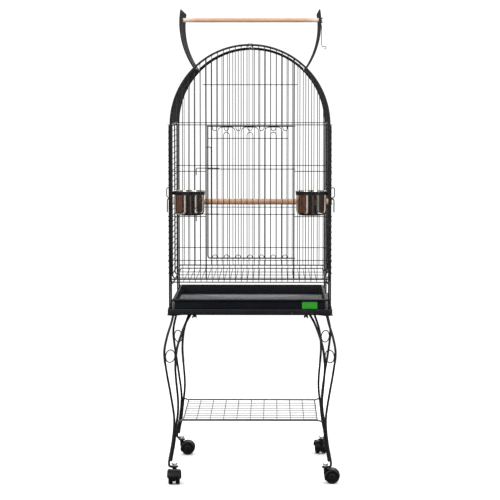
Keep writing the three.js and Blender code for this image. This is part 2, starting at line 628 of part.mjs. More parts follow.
const sideWall = rightWall();
for (const [name, side] of [["left", -1], ["right", 1]]) {
  piece(name + "_side_panel", side < 0 ? sideWall.mirror([1, 0, 0]) : sideWall, finish.blackWire);
  piece("feeder_door_" + name, feederDoor(side), finish.blackWire);
  piece("cup_band_" + name, cupHolder(side), finish.blackFrame);
  piece("feeder_cup_" + name, feederCup(), finish.steel, placed(side * cupX, cupY, 0));
  piece("feeder_latch_" + name, turnLatch(side), finish.zinc);
}

// Perches: a dowel along X, with a wing nut on a washer outside each wall or hatch.
/** How far from the middle the open hatches' outer faces are beside the play perch. */
function topPerchFace() {
  const centre = radians(hatch.openAngle - shoulderAngle);
  return -(hinge[0] + roofRadius * Math.cos(centre)) + roofRadius + bump.bar;
}
const hatchFace = topPerchFace();
const perches = [
  ["inner_perch", innerPerch, sideX + innerPerch.pastWall, sideBarFace + runningGap, 9.2],
  ["top_perch", topPerch, hatchFace, hatchFace + runningGap, 10.5],
];
for (const [name, perch, end, nutAt, washer] of perches) {
  piece(name, rod([-end, 0, perch.height], [end, 0, perch.height], perch.radius, 12), finish.wood);
  const shank = nutAt - end - 0.3;
  for (const [where, side] of [["left", -1], ["right", 1]]) {
    const nut = wingNut(washer, 3.4, 2.6, shank > 1 ? shank : 0);
    const at = placed(side * nutAt, 0, perch.height, side * Math.PI / 2, "y");
    piece(name + "_nut_" + where, nut, finish.zinc, at);
  }
}

const standLeg = leg();
const hood = casterHood();
const wheels = wheelPair();
for (const { name, turn, trail } of corners) {
  const corner = placed(0, 0, 0, radians(turn));
  piece("leg_" + name, standLeg, finish.blackFrame, corner);
  const boltZ = frameBottom - 0.3 - legPlate.thickness - runningGap;
  const bolt = placed(legBoltAt * Math.SQRT2, 0, boltZ, Math.PI, "x", corner);
  piece("leg_bolt_" + name, wingNut(6.5, 3.4, 2.8, legPlate.thickness + 4), finish.blackFrame, bolt);
  const at = caster.at * Math.SQRT2;
  const swivel = placed(at * Math.cos(radians(turn)), at * Math.sin(radians(turn)), 0, radians(trail));
  piece("caster_hood_" + name, hood, finish.wheelPlastic, swivel);
  const axle = placed(caster.trail, 0, caster.wheel, 0, "z", swivel);
  piece("caster_wheels_" + name, wheels, finish.wheelPlastic, axle);
  const nut = wingNut(8, 6, 1, 0).subtract(rod([0, 0, -1], [0, 0, 4.2], stem.radius + 0.5, 8));
  const nutAt = placed(swivel.position.x, swivel.position.y, stem.padBottom + 4.3);
  piece("caster_nut_" + name, nut, finish.zinc, nutAt);
}
piece("shelf", wireShelf(), finish.shelfWire);

export default cage;
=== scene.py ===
"""A dome-top bird cage on a rolling stand, in round wire, powder coat, spun steel, turned wood and plastic.

Lengths are metres. Every piece is placed in the frame's own axes, with +Z up and the front door towards -Y.
"""

import json
import logging
import math
from dataclasses import dataclass
from enum import Enum
from typing import Any, Sequence

import bpy
import numpy as np
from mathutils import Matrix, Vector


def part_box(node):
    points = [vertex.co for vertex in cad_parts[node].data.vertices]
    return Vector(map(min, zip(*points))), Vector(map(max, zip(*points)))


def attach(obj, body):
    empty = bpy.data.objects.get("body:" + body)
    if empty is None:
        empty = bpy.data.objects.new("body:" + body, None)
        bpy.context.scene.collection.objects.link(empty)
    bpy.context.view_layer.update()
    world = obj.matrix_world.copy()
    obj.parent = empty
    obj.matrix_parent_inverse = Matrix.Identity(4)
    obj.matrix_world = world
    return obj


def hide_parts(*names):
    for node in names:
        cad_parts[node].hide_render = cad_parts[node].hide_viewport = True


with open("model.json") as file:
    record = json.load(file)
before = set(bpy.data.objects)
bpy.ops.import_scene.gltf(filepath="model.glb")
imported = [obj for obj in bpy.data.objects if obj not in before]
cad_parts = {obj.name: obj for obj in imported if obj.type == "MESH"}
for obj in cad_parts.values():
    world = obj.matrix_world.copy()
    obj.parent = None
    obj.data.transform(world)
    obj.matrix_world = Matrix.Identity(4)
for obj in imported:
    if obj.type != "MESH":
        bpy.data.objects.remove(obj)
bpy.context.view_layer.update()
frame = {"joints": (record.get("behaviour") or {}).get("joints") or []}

log = logging.getLogger("bird_cage")

SIDES = {"left": -1.0, "right": 1.0}
X, Y, Z = (1, 0, 0), (0, 1, 0), (0, 0, 1)
ROOT_TWO = math.sqrt(2)
CAP = 0.7  # a cut end's ring, as a share of the section
NOSE = 0.35  # how far a wire's cut end bulges, as a share of its radius
NEAR = 0.001  # places closer than this are the same place
Point = Sequence[float]


# ---------------------------------------------------------------- places from the frame


class Layout:
    """The cage's main planes and spacings, worked out from the frame's joints."""

    wall_spaces = 27
    door_spaces = 15
    feeder_spaces = 8
    strip_spaces = 4
    floor = 0.651
    cross_heights = (0.711, 0.849, 0.991)
    cross_offset = 0.00235

    def __init__(self) -> None:
        """Reads the hinges that fix the door jamb, the side walls and the dome."""
        self.joints = {joint["name"]: joint for joint in frame["joints"]}
        self.jamb, self.front = self.joints["door_hinge"]["pos_m"][:2]
        self.side, self.feeder_jamb = self.joints["feeder_right_hinge"]["pos_m"][:2]
        shoulder = self.joints["hatch_right_hinge"]["pos_m"]
        self.shoulder = np.array([shoulder[0], 0.0, shoulder[2]])
        self.dome = shoulder[0] * ROOT_TWO
        self.spring = shoulder[2] - shoulder[0]
        self.pitch = 2 * self.jamb / self.door_spaces
        self.half = self.wall_spaces * self.pitch / 2
        self.places = self.pitch * np.arange(1, self.wall_spaces) - self.half
        self.strip = self.half - self.strip_spaces * self.pitch
        self.feeder_end = self.feeder_jamb + self.feeder_spaces * self.pitch
        self.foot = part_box("back_panel")[0].z

    def position(self, joint: str) -> np.ndarray:
        """The point that a hinge turns about."""
        return np.array(self.joints[joint]["pos_m"])


# ---------------------------------------------------------------- surfaces


def turn(axis: Point, degrees: float) -> np.ndarray:
    """The 3 by 3 rotation about an axis: cos I + sin [axis]x + (1 - cos) axis axis^T."""
    x, y, z = np.array(axis, float) / np.linalg.norm(axis)
    cross = np.array([[0, -z, y], [z, 0, -x], [-y, x, 0]])
    angle = math.radians(degrees)
    return np.eye(3) + math.sin(angle) * cross + (1 - math.cos(angle)) * cross @ cross


def line(start: Point, end: Point, count: int = 2) -> np.ndarray:
    """Points from start to end, evenly spaced."""
    return np.linspace(np.array(start, float), np.array(end, float), count)


def arc(centre: Point, radius: float | tuple[float, float], start: float, end: float,
        u: Point, v: Point, count: int = 25) -> np.ndarray:
    """Points of an ellipse's arc: centre + a cos(t) u + b sin(t) v, with t in degrees."""
    a, b = radius if isinstance(radius, tuple) else (radius, radius)
    t = np.radians(np.linspace(start, end, count))[:, None]
    return np.array(centre, float) + a * np.cos(t) * np.array(u, float) + b * np.sin(t) * np.array(v, float)


def spline(points: Sequence[Point], per_span: int = 8) -> np.ndarray:
    """A Catmull-Rom curve: each span is the cubic that passes its ends along their neighbours' chord.

    Args:
        points: the points the curve passes.
        per_span: how many samples each span gets.

    Returns:
        The samples, as rows.
    """
    p = np.array(points, float)
    p = np.vstack([2 * p[0] - p[1], p, 2 * p[-1] - p[-2]])
    t = (np.arange(per_span) / per_span)[None, :, None]
    a, b, c, d = (p[i:len(p) - 3 + i, None, :] for i in range(4))
    spans = 0.5 * (2 * b + (c - a) * t + (2 * a - 5 * b + 4 * c - d) * t**2 + (3 * b - a - 3 * c + d) * t**3)
    return np.vstack([spans.reshape(-1, p.shape[1]), p[-2]])


def fillet(points: Sequence[Point], radius: float, steps: int = 6, closed: bool = False) -> np.ndarray:
    """A bent wire's route: straight runs whose corners are cut by quadratic bends that start a radius away.

    Args:
        points: the corners, in two or three dimensions.
        radius: how far from a corner its bend starts.
        steps: samples in each bend.
        closed: whether the last point joins the first.

    Returns:
        The route's points, as rows.
    """
    p = np.array(points, float)
    ring = np.vstack([p[-1:], p, p[:1]]) if closed else p
    corner, before, after = ring[1:-1], ring[:-2] - ring[1:-1], ring[2:] - ring[1:-1]

    def cut(leg: np.ndarray) -> np.ndarray:
        """The stretch of a leg that its bend takes, at most just under half of it."""
        length = np.linalg.norm(leg, axis=1)[:, None]
        return leg * np.minimum(radius, 0.49 * length) / length

    start, end = corner + cut(before), corner + cut(after)
    t = np.linspace(0, 1, steps)[None, :, None]
    bends = (1 - t) ** 2 * start[:, None] + 2 * t * (1 - t) * corner[:, None] + t**2 * end[:, None]
    bends = bends.reshape(-1, p.shape[1])
    return bends if closed else np.vstack([p[:1], bends, p[-1:]])


def circle(radius: float, sides: int) -> np.ndarray:
    """Points round a circle, as rows of two."""
    a = 2 * np.pi * np.arange(sides) / sides
    return radius * np.stack([np.cos(a), np.sin(a)], 1)


def points(x: Any, y: Any, z: Any) -> np.ndarray:
    """Rows of [x, y, z]; each is a number, or an array that is stretched over the others."""
    return np.stack(np.broadcast_arrays(x, y, z), -1).reshape(-1, 3).astype(float)


def column(values: Sequence[float]) -> np.ndarray:
    """Values as a column, which points() pairs with every one of a row's."""
    return np.reshape(values, (-1, 1))


def between(start: float, end: float, count: int) -> np.ndarray:
    """Evenly spaced values between a start and an end, without those two."""
    return np.linspace(start, end, count + 2)[1:-1]


def slab(half: float, thick: float, corner: float, steps: int = 3) -> np.ndarray:
    """A rounded rectangle's outline, reaching half and thick to each side of the origin."""
    corners = [(-half, -thick), (half, -thick), (half, thick), (-half, thick)]
    return fillet(corners, corner, steps, closed=True)


class Shell:
    """Closed surfaces gathered as arrays, then written into one mesh."""

    def __init__(self) -> None:
        """Starts with no surfaces."""
        self.points: list[np.ndarray] = []
        self.faces: list[np.ndarray] = []
        self.count = 0

    def _take(self, points: np.ndarray, quads: np.ndarray, triangles: np.ndarray) -> "Shell":
        """Adds one closed surface, turned to face outwards by the sign of the volume under its faces."""
        flat = points.reshape(-1, 3)
        halves = np.vstack([quads[:, [0, 1, 2]], quads[:, [0, 2, 3]], triangles])
        a, b, c = (flat[halves[:, i]] - flat.mean(0) for i in range(3))
        if np.einsum("ij,ij->i", a, np.cross(b, c)).sum() < 0:
            quads, triangles = quads[:, ::-1], triangles[:, ::-1]
        self.points.append(flat)
        self.faces += [quads + self.count, triangles + self.count]
        self.count += len(flat)
        return self

    def rings(self, grid: np.ndarray, looped: bool = False) -> "Shell":
        """Skins rows of rings.

        Args:
            grid: an array of surfaces, rows, points round each row's ring, and 3.
            looped: whether the last row meets the first; otherwise both ends are closed by fans.

        Returns:
            This shell.
        """
        grid = grid[None] if grid.ndim == 3 else grid
        many, rows, around, _ = grid.shape
        index = np.arange(many * rows * around).reshape(many, rows, around)
        low, high = (index, np.roll(index, -1, 1)) if looped else (index[:, :-1], index[:, 1:])
        quads = np.stack([low, np.roll(low, -1, 2), np.roll(high, -1, 2), high], -1).reshape(-1, 4)
        if looped:
            return self._take(grid, quads, np.zeros((0, 3), int))
        hubs = index.size + np.arange(2 * many).reshape(many, 2)
        ends = grid[:, [0, -1]].mean(2)
        start, end = (np.stack([row, np.broadcast_to(hub[:, None], row.shape), np.roll(row, -1, 1)], -1)
                      for row, hub in ((index[:, 0], hubs[:, 0]), (index[:, -1], hubs[:, 1])))
        points = np.vstack([grid.reshape(-1, 3), ends.reshape(-1, 3)])
        return self._take(points, quads, np.concatenate([start, end[..., ::-1]]).reshape(-1, 3))

    def sweep(self, paths: np.ndarray, outline: np.ndarray, normal: Point, looped: bool = False,
              nose: float = 0.0) -> "Shell":
        """Carries an outline along paths: point + u side + v up, side being square to path and normal.

        Args:
            paths: one path's points as rows, or an array of paths with as many points each.
            outline: the section's [u, v] rows.
            normal: a direction that no path runs along; a flat path's own normal keeps v square to its plane.
            looped: whether each path closes on itself.
            nose: how far a smaller ring stands past each end, to round off the cut.

        Returns:
            This shell.
        """
        paths = paths[None] if paths.ndim == 2 else paths
        run = np.roll(paths, -1, 1) - np.roll(paths, 1, 1) if looped else np.gradient(paths, axis=1)
        run /= np.linalg.norm(run, axis=2, keepdims=True)
        side = np.cross(run, np.array(normal, float))
        side /= np.linalg.norm(side, axis=2, keepdims=True)
        up = np.cross(side, run)
        u, v = outline[:, :1], outline[:, 1:]
        grid = paths[:, :, None] + u * side[:, :, None] + v * up[:, :, None]
        if not looped:
            middle, ends = paths[:, [0, -1], None], grid[:, [0, -1]]
            outwards = np.array([-1.0, 1.0])[None, :, None, None] * run[:, [0, -1], None]
            caps = middle + CAP * (ends - middle) + nose * outwards
            grid = np.concatenate([caps[:, :1], grid, caps[:, 1:]], 1)
        return self.rings(grid, looped)

    def tubes(self, paths: np.ndarray, radius: float, normal: Point, sides: int = 10,
              looped: bool = False) -> "Shell":
        """Round wires along paths: a circle of that radius carried along each."""
        return self.sweep(paths, circle(radius, sides), normal, looped, NOSE * radius)

    def bars(self, starts: np.ndarray, ends: np.ndarray, radius: float, normal: Point,
             sides: int = 8) -> "Shell":
        """Straight wires, each from a row of starts to the same row of ends."""
        starts, ends = np.broadcast_arrays(np.atleast_2d(starts), np.atleast_2d(ends))
        return self.tubes(np.stack([starts, ends], 1).astype(float), radius, normal, sides)

    def welds(self, places: np.ndarray, radius: float) -> "Shell":
        """Small flattened beads, one ring of six points between two fans, where wires are spot-welded."""
        unit = np.array([np.insert(circle(r, 6), 2, z, axis=1) for r,
                         z in ((0.55, -0.75), (1, 0), (0.55, 0.75))]) * radius
        return self.rings(np.atleast_2d(places)[:, None, None] + unit)

    def lathe(self, profile: Sequence[Point], segments: int = 48, looped: bool = False) -> "Shell":
        """Turns [radius, height] points about Z: (r cos a, r sin a, z).

        Args:
            profile: the points, from one end to the other.
            segments: how many steps the turn has.
            looped: whether the profile closes on itself, as a hoop's does; otherwise fans close both ends.

        Returns:
            This shell.
        """
        r, z = np.array(profile, float).T
        ring = np.insert(circle(1.0, segments), 2, 0.0, axis=1)
        return self.rings(r[:, None, None] * ring + np.array(Z) * z[:, None, None], looped)

    def plate(self, outline: np.ndarray, thickness: float, bevel: float) -> "Shell":
        """A flat piece in x and z with its edge rounded off, its thickness centred on y = 0.

        Args:
            outline: [x, z] rows round the edge.
            thickness: along y.
            bevel: how far the faces' edges draw in.

        Returns:
            This shell.
        """
        edge = np.array(outline, float)
        run = np.roll(edge, -1, 0) - np.roll(edge, 1, 0)
        inward = np.stack([-run[:, 1], run[:, 0]], 1) / np.linalg.norm(run, axis=1)[:, None]
        area = np.sum(edge[:, 0] * np.roll(edge[:, 1], -1) - np.roll(edge[:, 0], -1) * edge[:, 1])
        inward *= math.copysign(1, area)
        low = [(bevel, -thickness / 2), (0.25 * bevel, -thickness / 2 + 0.3 * bevel),
               (0, -thickness / 2 + bevel)]
        rows = low + [(draw, -y) for draw, y in reversed(low)]
        stack = [np.insert(edge + inward * draw, 1, y, axis=1) for draw, y in rows]
        return self.rings(np.array(stack))

    def loft(self, rows: Sequence[tuple[float, float, float, float, float]], steps: int = 6,
             looped: bool = False) -> "Shell":
        """Skins a stack of rounded rectangles about the plane x = 0.

        Args:
            rows: half width, lowest y, highest y, corner radius and height of each rectangle.
            steps: points in each corner.
            looped: whether the stack closes on itself, as a hollow frame's section does.

        Returns:
            This shell.
        """
        t = np.radians(np.concatenate([np.linspace(90 * q, 90 * q + 90, steps) for q in range(4)]))
        quadrant = np.repeat(np.array([[1, 1], [-1, 1], [-1, -1], [1, -1]]), steps, 0)
        half, low, high, corner, z = (np.array(rows, float).T)[:, :, None]
        x = quadrant[:, 0] * (half - corner) + corner * np.cos(t)
        y = (low + high) / 2 + quadrant[:, 1] * ((high - low) / 2 - corner) + corner * np.sin(t)
        return self.rings(np.stack([x, y, z + 0 * x], -1), looped)

    def moved(self, rotation: np.ndarray | None = None, shift: Point = (0, 0, 0)) -> "Shell":
        """A copy turned about the origin and then shifted."""
        other = Shell()
        matrix = np.eye(3) if rotation is None else rotation
        other.points = [p @ matrix.T + np.array(shift, float) for p in self.points]
        other.faces, other.count = list(self.faces), self.count
        return other

    def merged(self, *others: "Shell") -> "Shell":
        """This shell with the surfaces of others added."""
        for other in others:
            self.points += other.points
            self.faces += [face + self.count for face in other.faces]
            self.count += other.count
        return self

    def mesh(self, name: str, smooth_angle: float) -> bpy.types.Mesh:
        """Writes the surfaces into a mesh whose edges sharper than smooth_angle degrees stay sharp."""
        faces = [face for face in self.faces if len(face)]
        loops = np.concatenate([face.ravel() for face in faces])
        sizes = np.concatenate([np.full(len(face), face.shape[1]) for face in faces])
        made = bpy.data.meshes.new(name)
        made.vertices.add(self.count)
        made.vertices.foreach_set("co", np.concatenate(self.points).astype(np.float32).ravel())
        made.loops.add(len(loops))
        made.loops.foreach_set("vertex_index", loops.astype(np.int32))
        made.polygons.add(len(sizes))
        made.polygons.foreach_set("loop_start", (np.cumsum(sizes) - sizes).astype(np.int32))
        made.polygons.foreach_set("use_smooth", np.ones(len(sizes), bool))
        made.update(calc_edges=True)
        made.set_sharp_from_angle(angle=math.radians(smooth_angle))
        return made


# ---------------------------------------------------------------- finishes


def linear(hex_colour: str) -> tuple[float, float, float, float]:
    """A display colour such as "2a2a2c" as the linear values that a shader takes."""
    channels = [int(hex_colour[i:i + 2], 16) / 255 for i in (0, 2, 4)]
    return (*[c / 12.92 if c <= 0.04045 else ((c + 0.055) / 1.055) ** 2.4 for c in channels], 1.0)


class Socket:
    """A node's output, whose operators add Math nodes."""

    def __init__(self, nodes: "Nodes", output: bpy.types.NodeSocket) -> None:
        """Wraps an output of a node."""
        self.nodes, self.output = nodes, output

    def math(self, operation: str, *others: Any) -> "Socket":
        """One Math node on this value and others."""
        return self.nodes.math(operation, self, *others)

    def __add__(self, other: Any) -> "Socket":
        """self + other."""
        return self.math("ADD", other)

    def __mul__(self, other: Any) -> "Socket":
        """self * other."""
        return self.math("MULTIPLY", other)

    def __sub__(self, other: Any) -> "Socket":
        """self - other."""
        return self.math("SUBTRACT", other)

    def __rsub__(self, other: Any) -> "Socket":
        """other - self."""
        return self.nodes.math("SUBTRACT", other, self)

    def __truediv__(self, other: Any) -> "Socket":
        """self / other."""
        return self.math("DIVIDE", other)

    def __abs__(self) -> "Socket":
        """The value without its sign."""
        return self.math("ABSOLUTE")

    __radd__, __rmul__ = __add__, __mul__


class Nodes:
    """A node tree, with one method that makes any node."""

    def __init__(self, tree: bpy.types.NodeTree) -> None:
        """Takes the tree to add to."""
        self.tree = tree

    def add(self, kind: str, settings: dict[str, Any] | None = None, inputs: dict[Any, Any] | None = None,
            output: Any = 0) -> Socket:
        """Makes a node.

        Args:
            kind: the node's type.
            settings: its properties, and "stops" for a ramp's [position, colour] pairs.
            inputs: values or sockets for its inputs, by name or number.
            output: which output is wanted, by name or number.

        Returns:
            That output.
        """
        node = self.tree.nodes.new(kind)
        for key, value in (settings or {}).items():
            if key == "stops":
                elements = node.color_ramp.elements
                while len(elements) < len(value):
                    elements.new(1.0)
                for element, (position, colour) in zip(elements, value):
                    element.position, element.color = position, colour
            else:
                setattr(node, key, value)
        for key, value in (inputs or {}).items():
            self.feed(node.inputs[key], value)
        return Socket(self, node.outputs[output])

    def math(self, operation: str, *values: Any) -> Socket:
        """One Math node on these values."""
        return self.add("ShaderNodeMath", {"operation": operation}, dict(enumerate(values)))

    def feed(self, target: bpy.types.NodeSocket, value: Any) -> None:
        """Links a socket to an input, or sets the input to a value."""
        if isinstance(value, Socket):
            self.tree.links.new(value.output, target)
        else:
            target.default_value = value

    def place(self, stretch: Point = (1, 1, 1)) -> Socket:
        """Object coordinates, in metres, each axis multiplied by its stretch."""
        spot = self.add("ShaderNodeTexCoord", output="Object")
        return self.add("ShaderNodeVectorMath", {"operation": "MULTIPLY"}, {0: spot, 1: tuple(stretch)})

    def noise(self, scale: float, stretch: Point = (1, 1, 1), detail: float = 2.0,
              distortion: float = 0.0) -> Socket:
        """Cloudy noise over the object, from about 0.3 to 0.7."""
        return self.add("ShaderNodeTexNoise", None, {
            "Vector": self.place(stretch), "Scale": scale, "Detail": detail, "Distortion": distortion})

    def ramp(self, factor: Socket, stops: Sequence[tuple[float, tuple[float, ...]]]) -> Socket:
        """A colour ramp through the stops."""
        return self.add("ShaderNodeValToRGB", {"stops": stops}, {0: factor})

    def step(self, value: Socket, low: float, high: float) -> Socket:
        """0 below low, 1 above high, and smooth between them."""
        return self.add("ShaderNodeMapRange", {"interpolation_type": "SMOOTHSTEP"},
                        {"Value": value, "From Min": low, "From Max": high})

    def mix(self, factor: Any, first: Any, second: Any) -> Socket:
        """A blend of two colours."""
        return self.add("ShaderNodeMix", {"data_type": "RGBA"}, {0: factor, 6: first, 7: second}, 2)

    def bump(self, height: Socket, distance: float, strength: float = 1.0) -> Socket:
        """A normal bent by a height; distance is how far 1 stands out, in metres."""
        return self.add("ShaderNodeBump", None, {"Height": height, "Distance": distance,
                                                 "Strength": strength})


@dataclass(frozen=True)
class Finish:
    """A surface finish: the slot it belongs to, its colour and its gloss."""

    slot: str
    colour: str
    roughness: float = 0.4
    metallic: float = 0.0
    specular: float = 0.5

    def surface(self, nodes: Nodes) -> dict[str, Any]:
        """What each socket of the shader is set to or linked to."""
        return {"Base Color": linear(self.colour), "Roughness": self.roughness}

    def material(self) -> bpy.types.Material:
        """The finish's material, made the first time that it is asked for."""
        name = f"{self.slot}_{self.colour}"
        if name in bpy.data.materials:
            return bpy.data.materials[name]
        made = bpy.data.materials.new(name)
        made.use_nodes = True
        nodes = Nodes(made.node_tree)
        shader = made.node_tree.nodes["Principled BSDF"]
        constants = {"Metallic": self.metallic, "Specular IOR Level": self.specular}
        for socket, value in (constants | self.surface(nodes)).items():
            nodes.feed(shader.inputs[socket], value)
        return made


@dataclass(frozen=True)
class PowderCoat(Finish):
    """Baked powder coat: orange peel, drifting gloss, pale dust and rare chips down to grey primer."""

    dust: str = "4a4a4c"
    chip: str = "6e6c69"

    def surface(self, nodes: Nodes) -> dict[str, Any]:
        """Colour from dust and chips, gloss from drifting noise, and a bump of orange peel."""
        peel = nodes.noise(620, detail=1)
        drift = nodes.noise(26, detail=3)
        chips = nodes.step(nodes.noise(190, detail=2), 0.70, 0.73)
        dusty = nodes.mix(nodes.step(drift, 0.5, 0.78) * 0.5, linear(self.colour), linear(self.dust))
        return {"Base Color": nodes.mix(chips * 0.8, dusty, linear(self.chip)),
                "Roughness": drift * 0.3 + peel * 0.12 + (self.roughness - 0.21),
                "Normal": nodes.bump(peel - chips * 0.6, 0.00012)}


@dataclass(frozen=True)
class MouldedPlastic(Finish):
    """Injection-moulded plastic: spark-eroded grain, faint flow marks and scuffs that lighten the colour."""

    scuff: str = "3a4048"
    grain: float = 900.0

    def surface(self, nodes: Nodes) -> dict[str, Any]:
        """Colour from scuffs and flow, gloss from both, and a bump of fine grain."""
        grain = nodes.noise(self.grain, detail=2)
        flow = nodes.noise(9, (1.0, 1.0, 2.5), detail=4, distortion=0.8)
        scuffs = nodes.step(nodes.noise(60, (1.0, 1.0, 9.0), detail=5), 0.60, 0.74)
        return {"Base Color": nodes.mix(scuffs * 0.35 + nodes.step(flow, 0.45, 0.7) * 0.25,
                                        linear(self.colour),
                                        linear(self.scuff)),
                "Roughness": grain * 0.16 + scuffs * 0.2 + flow * 0.15 + (self.roughness - 0.15),
                "Normal": nodes.bump(grain, 0.00008)}


@dataclass(frozen=True)
class TurnedWood(Finish):
    """A plain turned dowel with its grain along X: growth bands, short pores and paler ends."""

    late: str = "a9795a"
    pale: str = "f0e2d2"
    pale_from: float = 0.5

    def surface(self, nodes: Nodes) -> dict[str, Any]:
        """Colour from long stretched noise and pores, with the ends paler than the middle."""
        bands = nodes.noise(42, (0.035, 1.0, 1.0), detail=4, distortion=0.6)
        streaks = nodes.noise(260, (0.025, 1.0, 1.0), detail=3)
        pores = nodes.step(nodes.noise(620, (0.06, 1.0, 1.0), detail=1), 0.60, 0.68)
        across = nodes.add("ShaderNodeSeparateXYZ", None, {0: nodes.place()})
        ends = nodes.step(abs(across), self.pale_from, self.pale_from + 0.05)
        grain = nodes.mix(nodes.step(bands, 0.42, 0.62) * 0.45 + nodes.step(streaks, 0.45, 0.7) * 0.3,
                          linear(self.colour), linear(self.late))
        faded = nodes.mix(ends * 0.75, grain, linear(self.pale))
        return {"Base Color": nodes.mix(pores * 0.4, faded, linear(self.late)),
                "Roughness": streaks * 0.25 + (self.roughness - 0.12),
                "Normal": nodes.bump(streaks - pores * 0.5, 0.00015)}


@dataclass(frozen=True)
class SpunSteel(Finish):
    """Polished stainless steel: fine spinning marks round the wall, and smears that dull the shine."""

    def surface(self, nodes: Nodes) -> dict[str, Any]:
        """Gloss from smears and marks, and a bump of rings stacked along Z."""
        marks = nodes.noise(700, (0.02, 0.02, 1.0), detail=2)
        smears = nodes.noise(38, detail=4, distortion=0.4)
        return {"Base Color": nodes.mix(nodes.step(smears, 0.4, 0.7), linear(self.colour),
                                        linear("c4bbb0")),
                "Roughness": marks * 0.1 + nodes.step(smears, 0.45, 0.75) * 0.12 + (self.roughness - 0.05),
                "Normal": nodes.bump(marks, 0.00003)}


@dataclass(frozen=True)
class ZincPlate(Finish):
    """Bright zinc plating: small spangle, slightly yellow and blue, with dull spots."""

    def surface(self, nodes: Nodes) -> dict[str, Any]:
        """Colour that drifts between warm and cool, and gloss broken by dull spots."""
        tint = nodes.noise(70, detail=2)
        spots = nodes.noise(420, detail=3)
        return {"Base Color": nodes.ramp(tint, [(0.35, linear("b9b7ae")), (0.5, linear(self.colour)),
                                                (0.65, linear("9aa0aa"))]),
                "Roughness": spots * 0.3 + (self.roughness - 0.15),
                "Normal": nodes.bump(spots, 0.00008)}


@dataclass(frozen=True)
class PlainSticker(Finish):
    """A blank printed film: even ink with a slight mottle and a satin face."""

    def surface(self, nodes: Nodes) -> dict[str, Any]:
        """Colour with a slight mottle, and a bump where the film isn't quite flat."""
        mottle = nodes.noise(150, detail=3)
        waves = nodes.noise(55, detail=1)
        return {"Base Color": nodes.mix(nodes.step(mottle, 0.4, 0.7) * 0.3, linear(self.colour),
                                        linear("3a9c31")),
                "Roughness": mottle * 0.2 + (self.roughness - 0.1),
                "Normal": nodes.bump(waves, 0.0002)}


BLACK_WIRE = PowderCoat("black_wire", "161617", 0.45, specular=0.4, dust="2c2c2e")
BLACK_FRAME = PowderCoat("black_frame", "1a191c", 0.42, specular=0.35, dust="29282c")
SHELF_WIRE = PowderCoat("shelf_wire", "626466", 0.38, metallic=0.3, dust="7c7d7f", chip="a8a8a6")
TRAY_PLASTIC = MouldedPlastic("tray_plastic", "0a0f17", 0.40, specular=0.3, scuff="141b25")
CASTER_PLASTIC = MouldedPlastic("caster_plastic", "0e0e10", 0.40, specular=0.35, scuff="222224",
                                grain=700.0)
PERCH_WOOD = TurnedWood("wood", "c9a184", 0.6, specular=0.3)
TOP_PERCH_WOOD = TurnedWood("wood", "cfa98d", 0.6, specular=0.3, pale_from=0.17)
CUP_STEEL = SpunSteel("cup_steel", "dcd6cd", 0.10, metallic=1.0)
ZINC = ZincPlate("zinc", "a9a9a8", 0.32, metallic=1.0)
CLIP_ZINC = ZincPlate("zinc", "c2c2c2", 0.5, metallic=0.35)
LABEL = PlainSticker("label", "2f8f27", 0.45, specular=0.25)


# ---------------------------------------------------------------- pieces


def add_piece(name: str, shell: Shell, finish: Finish, body: str, *nodes: str, smooth_angle: float = 42.0
              ) -> bpy.types.Object:
    """Makes a shell an object with its finish, on its body, in place of the frame's nodes.

    Args:
        name: the piece's name.
        shell: its surfaces, already in place.
        finish: its finish, which also gives its slot.
        body: the body it rides on.
        nodes: the frame's nodes that it stands for.
        smooth_angle: edges sharper than this stay sharp, in degrees.

    Returns:
        The object.
    """
    made = bpy.data.objects.new(name, shell.mesh(name, smooth_angle))
    made.data.materials.append(finish.material())
    bpy.context.scene.collection.objects.link(made)
    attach(made, body)
    if nodes:
        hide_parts(*nodes)
    log.info("%s: %d faces on %s", name, len(made.data.polygons), body)
    return made


def eye(centre: Point, radius: float, wire: float, axis: str) -> Shell:
    """A wire ring round an axis x, y or z."""
    normal, u, v = {"x": (X, Y, Z), "y": (Y, X, Z), "z": (Z, X, Y)}[axis]
    return Shell().tubes(arc(centre, radius, 0, 345, u, v, 24), wire, normal, 8, looped=True)


def wing_nut(washer: float, hub: float, bore: float = 0.0) -> Shell:
    """A wing nut on its washer, standing on z = 0: a turned hub with two rounded wings.

    Args:
        washer: the washer's radius.
        hub: the hub's radius.
        bore: the radius of its hole, or 0 for a closed end.

    Returns:
        Its surfaces.
    """
    top, edge = 0.0064, 0.0013
    profile = [(washer - 0.0003, 0), (washer, 0.0003), (washer, edge - 0.0003), (washer - 0.0003, edge),
               (hub + 0.0004, edge), (hub, 0.0018), (hub * 0.93, top - 0.0006), (hub * 0.82, top)]
    if bore:
        made = Shell().lathe([(bore, 0), *profile, (bore, top)], 32, looped=True)
    else:
        stub = min(hub * 0.55, 0.0025)
        made = Shell().lathe([(0, 0), *profile, (stub, top), (stub, top + 0.0012),
                              (stub * 0.7, top + 0.0016),
                              (0, top + 0.0016)], 32)
    foot = hub * 0.6
    wing = np.array([(foot, 0.0016), (0.0044, 0.0016), (0.0096, 0.0058), (0.0088, 0.0101), (0.0058, 0.0088),
                     (foot, 0.0052)])
    wing[:, 0] = np.maximum(wing[:, 0], foot)
    for flip in (1, -1):
        made.plate(fillet(wing * np.array([flip, 1]), 0.0016, 4, closed=True), 0.0018, 0.0005)
    return made


@dataclass
class Assembly:
    """A group of pieces that share the cage's planes and spacings."""

    layout: Layout

    bar: float = 0.00115
    cross: float = 0.00125
    rail: float = 0.0021
    post: float = 0.0025
    jamb_wire: float = 0.0022
    eye_wire: float = 0.0012
    eye_radius: float = 0.0041
    bead: float = 0.00155
    knot: float = 0.0024
    edge_weld: float = 0.0023

    def build(self) -> None:
        """Makes the group's pieces."""
        raise NotImplementedError


